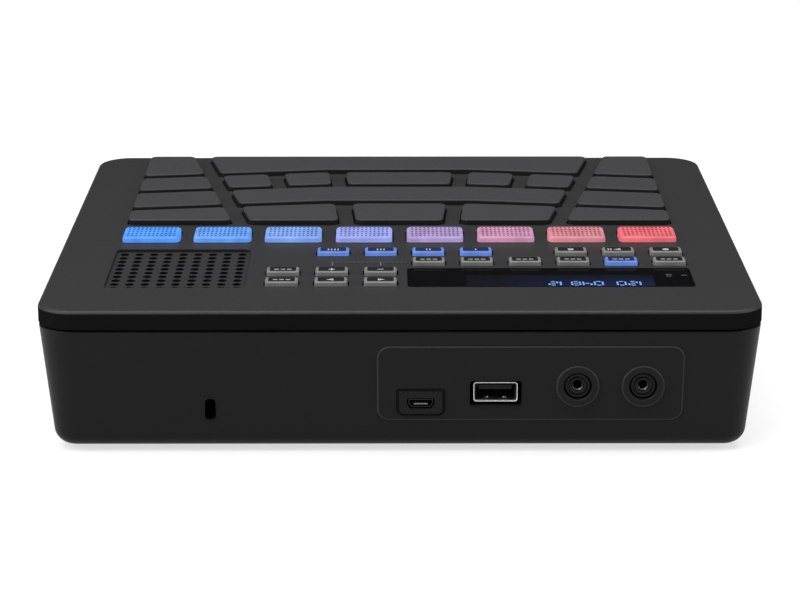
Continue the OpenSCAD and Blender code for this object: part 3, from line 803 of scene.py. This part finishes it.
def rear_openings(solid):
    """Panel, bosses and cuts of the rear wall, as the holes that they leave in its outer and inner faces."""
    port_plan = rectangle(
        (PORT_LEFT + PORT_RIGHT) / 2, (PORT_LOW + PORT_HIGH) / 2,
        PORT_RIGHT - PORT_LEFT, PORT_HIGH - PORT_LOW, PORT_R, steps=8,
    )
    # The panel's rounded edge is painted lighter as a highlight
    port_base, port_face = raised(solid, port_plan, outer_y, port_y, PORT_EDGE_R, painted_highlight_finish)
    lock_plan = rectangle(LOCK_X, LOCK_Z, LOCK_W, LOCK_H, LOCK_R)
    lock_mouth, lock_back = sunk(solid, lock_plan, outer_y, inner_y, PORT_EDGE_R)
    sockets = [jack_boss(solid, node) for node in JACKS]
    usb_plan = rectangle(USB_A_X, USB_A_Z, USB_A_CUT_W, USB_A_CUT_H, USB_A_CUT_R)
    sockets.append(sunk(solid, usb_plan, port_y, inner_y, PORT_EDGE_R))
    sockets.append(micro_boss(solid))
    solid.sheet(port_face, [outer for outer, inner in sockets], upright=True)
    return [port_base, lock_mouth], [lock_back, *[inner for outer, inner in sockets]]


def side_of(rings, number):
    """The four corners of one side between two rings."""
    first, second = rings
    after = (number + 1) % len(first)
    return [first[number], first[after], second[after], second[number]]


# Tub

def screw_sinks(solid):
    """Sunk holes for the screws, as the rings that they leave in the underside and in the floor."""
    profile = [
        (SCREW_SINK_R, TUB_LOW_Z), (SCREW_SINK_R, SCREW_SEAT_Z), (SCREW_PASS_R, SCREW_SEAT_Z),
        (SCREW_PASS_R, SCREW_FOOT_Z), (SCREW_FOOT_R, SCREW_FOOT_Z), (SCREW_FOOT_R, FLOOR_Z),
    ]
    under = []
    above = []
    for x, y in SCREW_PLACES:
        rings = [solid.ring(circle(x, y, radius, count=32), level(z)) for radius, z in profile]
        solid.walls(rings)
        under.append(rings[0])
        above.append(rings[-1])
    return under, above


def tub_shell():
    """Leaning walls with a round lower edge, a lip inside the lid's band and the rear openings."""
    solid = Solid(tub_finish)

    def tub_ring(z, out):
        return solid.ring(grown(TUB_PLAN, out - (SEAM_Z - z) * LEAN), level(z))

    foot = []
    for out, up in reversed(edge_steps(TUB_EDGE_R, steps=7)):
        foot.append(tub_ring(TUB_LOW_Z - up, out))
    seam_low = tub_ring(SEAM_Z - SEAM_CHAMFER, 0)
    lip_plan = grown(LID_PLAN, -BAND_T - LIP_FIT)
    lip_low = solid.ring(lip_plan, level(SEAM_Z))
    lip_high = solid.ring(lip_plan, level(SEAM_Z + LIP_H))
    lip_back = solid.ring(grown(TUB_PLAN, -WALL_T), level(SEAM_Z + LIP_H))
    inner_high = tub_ring(SEAM_Z, -WALL_T)
    inner_low = tub_ring(FLOOR_Z, -WALL_T)
    solid.walls(foot)
    solid.walls([foot[-1], seam_low], skip=REAR_SIDE)
    solid.walls([seam_low, tub_ring(SEAM_Z, -SEAM_CHAMFER), lip_low, lip_high, lip_back, inner_high])
    solid.walls([inner_high, inner_low], skip=REAR_SIDE)

    outer_holes, inner_holes = rear_openings(solid)
    solid.sheet(side_of([foot[-1], seam_low], REAR_SIDE), outer_holes, upright=True)
    solid.sheet(side_of([inner_high, inner_low], REAR_SIDE), inner_holes, upright=True)
    under, above = screw_sinks(solid)
    solid.sheet(foot[0], under)
    solid.sheet(inner_low, above)
    piece("tub_shell", solid, "tub_plastic", stands_for=["tub"])


lid_shell()
tub_shell()


# Keys

def cap_rings(solid, plan, low_z, top_z, edge_r, steps, side=None):
    """The sides and rounded edge of a key, as its bottom and top rings."""
    rings = [solid.ring(plan, level(low_z))]
    for out, up in edge_steps(edge_r, steps):
        rings.append(solid.ring(grown(plan, out), level(top_z + up)))
    solid.walls(rings[:2], side)
    solid.walls(rings[1:])
    return rings[0], rings[-1]


def drum_pad(node):
    low, high = node_box(node)
    solid = Solid(pad_finish)
    # The pad's sides are painted darker as the shade between the pads
    bottom, top = cap_rings(solid, KEY_PLANS[node], low.z, high.z, PAD_EDGE_R, 5, side=painted_shade_rubber)
    solid.sheet(bottom, finish=painted_shade_rubber)
    solid.sheet(top)
    piece(f"{node}_cap", solid, SLOTS[node], node, [node])


# Colours of the lit pads, from red at the player's left to blue, and the pits in them
LIGHT_COLOURS = [
    (0.74, 0.14, 0.17), (0.61, 0.22, 0.26), (0.52, 0.25, 0.39), (0.37, 0.28, 0.54),
    (0.28, 0.33, 0.75), (0.20, 0.35, 0.80), (0.12, 0.31, 0.83), (0.08, 0.30, 0.90),
]
LIGHT_GLOW = 0.92
PIT_COLUMNS, PIT_ROWS = 12, 5
PIT_PITCH_X, PIT_PITCH_Y = 1.45, 2.45
PIT_W, PIT_D, PIT_R = 0.76, 1.45, 0.3
PIT_FRONT = 1.9
PIT_DEPTH = 0.3
# Painted shade: the pits are darker and glow less than the rest of a pad
PIT_SHADE_TONE = 0.5
PIT_SHADE_GLOW = 0.62


def light_pad(node):
    """A translucent pad with rows of small pits in its top."""
    low, high = node_box(node)
    colour = LIGHT_COLOURS[LIGHT_NODES.index(node)]
    solid = Solid(lit(SLOTS[node], colour, LIGHT_GLOW))
    # The pits are painted darker and dimmer as shade
    pit_painted_shade = lit(f"{SLOTS[node]}_pit", toned(colour, PIT_SHADE_TONE), PIT_SHADE_GLOW)
    bottom, top = cap_rings(solid, KEY_PLANS[node], low.z, high.z, LIGHT_EDGE_R, 5)
    pits = []
    left = middle_of(node).x - PIT_PITCH_X * (PIT_COLUMNS - 1) / 2
    front = low.y + FLANGE_W + PIT_FRONT
    for i in range(PIT_COLUMNS):
        for j in range(PIT_ROWS):
            plan = rectangle(left + i * PIT_PITCH_X, front + j * PIT_PITCH_Y, PIT_W, PIT_D, PIT_R, steps=2)
            mouth = solid.ring(plan, level(high.z))
            pit_floor = solid.ring(plan, level(high.z - PIT_DEPTH))
            solid.walls([mouth, pit_floor], pit_painted_shade)
            solid.face(pit_floor, pit_painted_shade)
            pits.append(mouth)
    solid.sheet(bottom)
    solid.sheet(top, pits)
    piece(f"{node}_cap", solid, SLOTS[node], node, [node])


# Labels of the buttons and the strokes of their symbols
LABEL_W, LABEL_D, LABEL_R = 8.8, 4.7, 0.5
LABEL_FRONT = 0.5
LABEL_DEPTH = 0.12
DISC_R = 1.1
SQUARE = 1.9
ARROW_TIP, ARROW_BACK, ARROW_HALF = 1.6, 0.8, 1.1
PAUSE_W, PAUSE_D = 0.5, 2
PAUSE_PLACES = (2.5, 3.4)
SIGN_W, SIGN_T, SIGN_ARM = 2.2, 0.6, 0.8
TICK_PITCH, TICK_W, TICK_D = 1.1, 0.45, 1.9
DASH_PITCH, DASH_W, DASH_D = 2.1, 1.5, 0.7


def arrow(side):
    """A triangle that points to the right for 1 and to the left for -1."""
    back = -side * ARROW_BACK
    return polygon((side * ARROW_TIP, 0), (back, side * ARROW_HALF), (back, -side * ARROW_HALF))


def ticks(count):
    return [bar((i - (count - 1) / 2) * TICK_PITCH, 0, TICK_W, TICK_D) for i in range(count)]


MINUS = [bar(0, 0, SIGN_W, SIGN_T)]
PLUS = MINUS + [bar(0, y, SIGN_T, SIGN_ARM) for y in (SIGN_ARM, -SIGN_ARM)]
PLAIN_WORD = [bar(x, 0, DASH_W, DASH_D) for x in (-DASH_PITCH, 0, DASH_PITCH)]
SYMBOLS = {
    "transport_button_1": [circle(0, 0, DISC_R, count=20)],
    "transport_button_2": [arrow(1)] + [bar(x, 0, PAUSE_W, PAUSE_D) for x in PAUSE_PLACES],
    "transport_button_3": [bar(0, 0, SQUARE, SQUARE)],
    "value_button_1": MINUS,
    "value_button_2": PLUS,
    "page_button_1": [arrow(-1)],
    "page_button_2": [arrow(1)],
}
for place, bank_name in enumerate(nodes_named("bank_button")):
    SYMBOLS[bank_name] = ticks(place + 1)


def button(node):
    """A button with a dark sunk label, and on it a printed symbol or three dashes in place of a word."""
    low, high = node_box(node)
    x = middle_of(node).x
    blue = SLOTS[node] == "button_blue"
    label_coat = blue_label_finish if blue else label_finish
    solid = Solid(blue_finish if blue else painted_glow_grey_button)
    bottom, top = cap_rings(solid, KEY_PLANS[node], low.z, high.z, BUTTON_EDGE_R, 4)
    label_y = low.y + FLANGE_W + LABEL_FRONT + LABEL_D / 2
    label_z = high.z - LABEL_DEPTH
    label_plan = rectangle(x, label_y, LABEL_W, LABEL_D, LABEL_R, steps=3)
    label_top = solid.ring(label_plan, level(high.z))
    label = solid.ring(label_plan, level(label_z))
    solid.walls([label_top, label], label_coat)
    solid.face(label, label_coat)
    solid.sheet(bottom)
    solid.sheet(top, [label_top])
    for shape in SYMBOLS.get(node, PLAIN_WORD):
        solid.mark(moved(shape, x, label_y), label_z, print_finish)
    piece(f"{node}_cap", solid, SLOTS[node], node, [node])


for key_name in PAD_NODES:
    drum_pad(key_name)
for key_name in LIGHT_NODES:
    light_pad(key_name)
for key_name in BUTTON_NODES:
    button(key_name)


# Display

def window_glass():
    solid = Solid(window_finish)
    plan = box_rectangle(WINDOW_LOW, WINDOW_HIGH, WINDOW_R)
    bottom, top = cap_rings(solid, plan, WINDOW_LOW.z, WINDOW_HIGH.z, WINDOW_EDGE_R, 3)
    solid.sheet(bottom)
    solid.sheet(top)
    piece("window_glass", solid, "window_gloss", stands_for=["display_window"])


# Strokes of a digit: a at the top, b and c down its right side, d at the bottom, e and f up its left side
# and g across the middle
DIGIT_STROKES = {" ": "", "0": "abcdef", "1": "bc", "2": "abged", "4": "fgbc", "8": "abcdefg"}
DIGIT_W, DIGIT_D = 2.6, 4.2
DIGIT_PITCH = 3.75
STROKE = 0.62
DISPLAY_TEXT = "120 04812"
DISPLAY_LEFT = -80.5
DISPLAY_FROM_REAR = 4.6
DISPLAY_Y = WINDOW_HIGH.y - DISPLAY_FROM_REAR


def digit(character):
    """The strokes of one digit about its centre, as outlines."""
    right, top = DIGIT_W / 2, DIGIT_D / 2
    across = (DIGIT_W - 2 * STROKE, STROKE)
    along = (STROKE, DIGIT_D / 2 - STROKE)
    strokes = {
        "a": bar(0, top, *across), "g": bar(0, 0, *across), "d": bar(0, -top, *across),
        "b": bar(right, top / 2, *along), "c": bar(right, -top / 2, *along),
        "e": bar(-right, -top / 2, *along), "f": bar(-right, top / 2, *along),
    }
    return [strokes[name] for name in DIGIT_STROKES[character]]


def display_digits():
    solid = Solid(glyph_finish)
    x = DISPLAY_LEFT
    for character in DISPLAY_TEXT:
        for shape in digit(character):
            solid.mark(moved(shape, x, DISPLAY_Y), WINDOW_HIGH.z)
        x += DIGIT_PITCH
    piece("display_digits", solid, "display_glow")


# Lit field around the digits
FIELD_LEFT, FIELD_RIGHT = -84, -22
FIELD_D, FIELD_R = 13, 0.6
FIELD_FROM_REAR = 8
FIELD_Y = WINDOW_HIGH.y - FIELD_FROM_REAR


def field_glow():
    """Faint light of the display, strongest under the digits and fading forwards and to one side."""
    dark, blue = (0.003, 0.003, 0.004, 1), (0.008, 0.018, 0.085, 1)
    finish = Finish("display_band").set(Roughness=0.25, Specular_IOR_Level=0.05)
    finish.set(Base_Color=finish.mix(finish.noise(4), toned(dark, 0.4), toned(dark, 0.6)))
    front_y = FIELD_Y - FIELD_D / 2
    full_y = FIELD_Y + FIELD_D / 2 - 2
    full_x, faded_x = -58, -32
    forwards = finish.ramp(finish.along("Y"), front_y * MM, full_y * MM, 0, 1)
    sideways = finish.ramp(finish.along("X"), full_x * MM, faded_x * MM, 1, 0.15)
    light = finish.mix(sideways, dark, finish.mix(forwards, dark, blue))
    return finish.set(Emission_Color=light, Emission_Strength=0.6)


def display_field():
    """The lit field, a little lower than the digits."""
    solid = Solid(field_glow())
    plan = rectangle((FIELD_LEFT + FIELD_RIGHT) / 2, FIELD_Y, FIELD_RIGHT - FIELD_LEFT, FIELD_D, FIELD_R)
    solid.prism(plan, WINDOW_HIGH.z - PRINT_T, WINDOW_HIGH.z + PRINT_T / 2)
    piece("display_band", solid, "display_glow")


def window_print():
    dash_w, dash_d = 1.9, 0.5
    solid = Solid(faint_print_finish)
    for x, y in ((-89.5, 60.6), (-89.5, 62.4), (-94.6, 61.5)):
        solid.mark(bar(x, y, dash_w, dash_d), WINDOW_HIGH.z)
    piece("window_print", solid, "window_gloss")


def panel_print():
    """A dotted line in front of the value buttons, with a tick back to two of them."""
    dot_count, dot_pitch, dot_w, dot_d = 18, 1.46, 0.8, 0.5
    tick_back, tick_w, tick_d = 2.5, 0.5, 3.6
    solid = Solid(faint_print_finish)
    minus = middle_of("value_button_1")
    plus = middle_of("value_button_2")
    line_y = minus.y - 13.05
    for x in (minus.x, plus.x):
        solid.mark(bar(x, line_y + tick_back, tick_w, tick_d), PANEL_Z)
    for i in range(dot_count):
        solid.mark(bar(plus.x - i * dot_pitch, line_y, dot_w, dot_d), PANEL_Z)
    piece("panel_print", solid, "lid_plastic")


window_glass()
display_digits()
display_field()
window_print()
panel_print()


# Rear sockets

JACK_BORE_R = 1.8
JACK_BORE_DEPTH = 15

# The ringed end of a jack's bush down to the end of its bore, and the spring sleeve in the bore,
# as (radius, depth behind the bush's end)
JACK_BUSH = [
    (JACK_BUSH_R, 0.35), (JACK_BUSH_R - 0.35, 0), (3.3, 0), (3.1, 0.7), (2.75, 0.7), (2.6, 0.1), (2.05, 0.1),
    (JACK_BORE_R, 0.45), (JACK_BORE_R, JACK_BORE_DEPTH),
]
JACK_SLEEVE = [(1.78, 1.0), (1.45, 1.3), (1.4, 2.6), (1.5, 2.9), (1.78, 2.9)]


def jack_rings(solid, x, end_y, profile):
    """Round rings of a jack, through (radius, depth) points."""
    rings = []
    for radius, depth in profile:
        rings.append(solid.ring(circle(x, JACK_Z, radius, count=40), at_depth(end_y - depth)))
    return rings


def audio_jack(node):
    """A jack body on the board with a ringed bush and a blind bore, and the spring sleeve in it."""
    low, high = node_box(node)
    x = (low.x + high.x) / 2
    body_d, body_h, corner_r, bevel = 13, 12.4, 0.8, 0.4
    body_end = low.y + body_d
    solid = Solid(jack_finish)
    plan = rectangle(x, low.z + body_h / 2, high.x - low.x, body_h, corner_r, steps=3)
    back = solid.ring(grown(plan, -bevel), at_depth(low.y))
    side = solid.ring(plan, at_depth(low.y + bevel))
    end = solid.ring(plan, at_depth(body_end))
    solid.walls([back, side, end])
    solid.face(back)
    bush = jack_rings(solid, x, high.y, [(JACK_BUSH_R, high.y - body_end), *JACK_BUSH])
    solid.walls(bush)
    solid.sheet(end, [bush[0]], upright=True)
    solid.face(bush[-1])
    piece(f"{node}_bush", solid, SLOTS[node], stands_for=[node])
    # The sleeve's steel is painted darker as the shade in the bore
    spring = Solid(painted_shade_steel)
    sleeve = jack_rings(spring, x, high.y, JACK_SLEEVE)
    spring.walls([*sleeve, sleeve[0]])
    piece(f"{node}_sleeve", spring, "socket_steel")


def usb_a_shell():
    """A folded metal shell with a flared mouth, bright outside and painted darker inside as shade, and
    spring bumps in it.
    """
    depth = USB_A_HIGH.y - USB_A_LOW.y
    shell_inset, hollow_inset, back_t = 0.5, 0.95, 3
    # From the back over the lip to the end of the hollow, as (inset from the lip, depth behind the mouth)
    bright = [
        (shell_inset, depth), (shell_inset, 1), (0.15, 0.45), (0, 0.15), (0.12, 0), (0.32, 0), (0.55, 0.3),
    ]
    dark = [(hollow_inset, 0.9), (hollow_inset, depth - back_t)]
    solid = Solid(steel_finish)
    lip = rectangle(USB_A_X, USB_A_Z, USB_A_LIP_W, USB_A_LIP_H, USB_A_LIP_R)
    rings = []
    for inset, behind in bright + dark:
        rings.append(solid.ring(grown(lip, -inset), at_depth(USB_A_HIGH.y - behind)))
    solid.walls(rings[:len(bright)])
    solid.walls(rings[len(bright) - 1:], painted_shade_steel)
    solid.sheet(rings[0], upright=True)
    solid.sheet(rings[-1], finish=painted_shade_steel, upright=True)
    low = USB_A_Z - USB_A_LIP_H / 2 + hollow_inset
    bump = [(0.75, low - 0.2), (0.75, low), (0.6, low + 0.3), (0.3, low + 0.45)]
    for x in (USB_A_X - 2.9, USB_A_X + 2.9):
        solid.turned(bump, standing(x, USB_A_HIGH.y - 2), count=20)
    piece("usb_a_shell", solid, "socket_steel", stands_for=["usb_a_socket"])


def usb_a_tongue():
    width, height, corner_r, up = 11.1, 1.9, 0.3, 1
    bevel, bevel_depth = 0.25, 0.3
    tip_y = USB_A_HIGH.y - 2
    root_y = USB_A_LOW.y + 2
    solid = Solid(jack_finish)
    plan = rectangle(USB_A_X, USB_A_Z + up, width, height, corner_r, steps=3)
    tip = solid.ring(grown(plan, -bevel), at_depth(tip_y))
    side = solid.ring(plan, at_depth(tip_y - bevel_depth))
    root = solid.ring(plan, at_depth(root_y))
    solid.closed([tip, side, root], upright=True)
    piece("usb_a_tongue", solid, "jack_plastic")


def usb_micro_shell():
    """A metal shell painted near black as the shade in the opening, with a thin tongue."""
    mouth_y, back_y = MICRO_HIGH.y, MICRO_LOW.y
    shell_inset, hollow_inset, back_t = 0.55, 0.8, 1
    solid = Solid(painted_black_shade_steel)
    shell = [solid.ring(micro_outline(shell_inset), at_depth(y)) for y in (back_y, mouth_y)]
    hollow = [solid.ring(micro_outline(hollow_inset), at_depth(y)) for y in (mouth_y, back_y + back_t)]
    solid.closed([*shell, *hollow], upright=True)
    width, height, corner_r, down = 4.6, 0.4, 0.15, 0.5
    tip_y = mouth_y - 0.6
    root_y = back_y + 0.5
    plan = rectangle(MICRO_X, MICRO_Z - down, width, height, corner_r, steps=2)
    solid.closed([solid.ring(plan, at_depth(y)) for y in (tip_y, root_y)], tongue_finish, upright=True)
    piece("usb_micro_shell", solid, "socket_steel", stands_for=["usb_micro_socket"])


for jack in JACKS:
    audio_jack(jack)
usb_a_shell()
usb_a_tongue()
usb_micro_shell()


# Underside

FEET_LOW, FEET_HIGH = node_box("rubber_feet")
FOOT_R = 7

# A foot from the hollow in its underside to its top, as (radius, height)
FOOT = [
    (4.5, 0.5), (4.9, 0.1), (5.2, 0), (FOOT_R - 0.6, 0), (FOOT_R - 0.17, 0.17), (FOOT_R, 0.6),
    (FOOT_R, FEET_HIGH.z - 0.2), (FOOT_R - 0.2, FEET_HIGH.z),
]

# A screw from the rim of its head to its tip, as (radius, height over the head's face)
SCREW_FACE_Z = TUB_Z + 0.4
SCREW_HEAD_R, SCREW_HEAD_H = 2.8, 2.2
SCREW_SHANK_R = 1.45
SCREW = [
    (SCREW_HEAD_R - 0.6, 0), (SCREW_HEAD_R - 0.15, 0.3), (SCREW_HEAD_R, 0.9), (SCREW_HEAD_R, SCREW_HEAD_H),
    (SCREW_SHANK_R, SCREW_HEAD_H), (SCREW_SHANK_R, 13.6), (1, 14),
]


def feet():
    """Four round rubber feet, hollow below."""
    solid = Solid(foot_finish)
    for x in (FEET_LOW.x + FOOT_R, FEET_HIGH.x - FOOT_R):
        for y in (FEET_LOW.y + FOOT_R, FEET_HIGH.y - FOOT_R):
            solid.turned(FOOT, standing(x, y), count=40)
    piece("foot_pads", solid, "foot_rubber", stands_for=["rubber_feet"])


def cross_plan():
    """A cross, from the left of its front arm."""
    reach, half = 1.5, 0.35
    arm = polygon((-half, -reach), (half, -reach), (half, -half))
    quarters = [Matrix.Rotation(math.pi / 2 * i, 2) for i in range(4)]
    return [quarter @ point for quarter in quarters for point in arm]


def screws():
    """Pan-head screws with a tapered cross recess."""
    recess_depth, taper = 1.2, 0.7
    cross = cross_plan()
    cross_end = [point * taper for point in cross]
    solid = Solid(screw_finish)
    for x, y in SCREW_PLACES:
        pit_low = solid.ring(moved(cross, x, y), level(SCREW_FACE_Z))
        pit_high = solid.ring(moved(cross_end, x, y), level(SCREW_FACE_Z + recess_depth))
        rings = []
        for radius, up in SCREW:
            rings.append(solid.ring(circle(x, y, radius, count=28), level(SCREW_FACE_Z + up)))
        solid.walls(rings)
        solid.face(rings[-1])
        solid.walls([pit_low, pit_high])
        solid.sheet(pit_high)
        solid.sheet(rings[0], [pit_low])
    piece("screw_heads", solid, "screw_steel", stands_for=["case_screws"])


feet()
screws()


# Pieces inside the case keep their solids and get a finish
INSIDE = {
    "speaker_driver": speaker_finish, "sensor_board": board_finish, "control_board": board_finish,
    "main_board": board_finish, "battery_pack": battery_finish, "display_module": module_finish,
}
for node_name, inside_finish in INSIDE.items():
    materials = frame["nodes"][node_name].data.materials
    materials.clear()
    materials.append(inside_finish.material)


# Studio, in metres and watts
CAMERA_PLACE = (0.0022, 0.8904, 0.2921)
CAMERA_DOWN = math.radians(16.890)
CAMERA_TURN = math.radians(-0.156)
CAMERA_LENS = 116.86
CAMERA_SENSOR = 36
CAMERA_NEAR = 0.01
FLOOR_REACH = 6
FLOOR_COLOUR = (0.24, 0.24, 0.24)
FLOOR_LIGHT = (1, 1, 1, 1)
FLOOR_GLOW = 0.65
BACKDROP_LIGHT = (0.97, 0.98, 1.0, 1)
BACKDROP_GLOW = 0.06

# Area lights: name, place, aim, width, depth and power
LAMPS = [
    ("overhead", (0, -0.05, 1.5), (0, -0.05, 0), 2.4, 1.7, 55),
    ("key", (0.75, 0.85, 1.25), (0, 0.1, 0.03), 0.9, 0.7, 14),
    ("left_strip", (-1.1, 0.3, 0.55), (0, 0.05, 0.03), 0.9, 0.5, 8),
    ("right_strip", (1.1, 0.3, 0.55), (0, 0.05, 0.03), 0.9, 0.5, 8),
]


def face_along(made, heading):
    """Turns a camera or a light to look along a heading."""
    made.rotation_euler = heading.to_track_quat("-Z", "Y").to_euler()


def camera():
    """The photo's view, from behind and above."""
    made = new_object("camera", bpy.data.cameras.new("camera"))
    made.data.lens = CAMERA_LENS
    made.data.sensor_width = CAMERA_SENSOR
    made.data.clip_start = CAMERA_NEAR
    made.location = CAMERA_PLACE
    level_reach = math.cos(CAMERA_DOWN)
    sideways = math.sin(CAMERA_TURN) * level_reach
    forwards = -math.cos(CAMERA_TURN) * level_reach
    face_along(made, Vector((sideways, forwards, -math.sin(CAMERA_DOWN))))
    bpy.context.scene.camera = made


def area_light(name, place, aim, width, depth, power):
    """A rectangular light that is turned to a point."""
    data = bpy.data.lights.new(name, "AREA")
    data.shape = "RECTANGLE"
    data.size = width
    data.size_y = depth
    data.energy = power
    made = new_object(name, data)
    made.location = place
    face_along(made, Vector(aim) - Vector(place))


def floor():
    """The paper under the case, which glows by itself so that the shadow on it stays faint."""
    mesh = bpy.data.meshes.new("floor")
    corners = [(x, y, 0) for x, y in bar(0, 0, 2 * FLOOR_REACH, 2 * FLOOR_REACH)]
    mesh.from_pydata(corners, [], [(0, 1, 2, 3)])
    finish = moulded("floor_paper", FLOOR_COLOUR, 0.9, grain=2, depth=0, spread=0.01, rough_spread=0.02)
    finish.set(Emission_Color=FLOOR_LIGHT, Emission_Strength=FLOOR_GLOW)
    mesh.materials.append(finish.material)
    made = new_object("floor", mesh)


def studio_light():
    world = bpy.data.worlds.new("studio")
    bpy.context.scene.world = world
    world.use_nodes = True
    backdrop = world.node_tree.nodes["Background"]
    backdrop.inputs["Color"].default_value = BACKDROP_LIGHT
    backdrop.inputs["Strength"].default_value = BACKDROP_GLOW
    for lamp in LAMPS:
        area_light(*lamp)
    bpy.context.scene.view_settings.view_transform = "Standard"


camera()
floor()
studio_light()
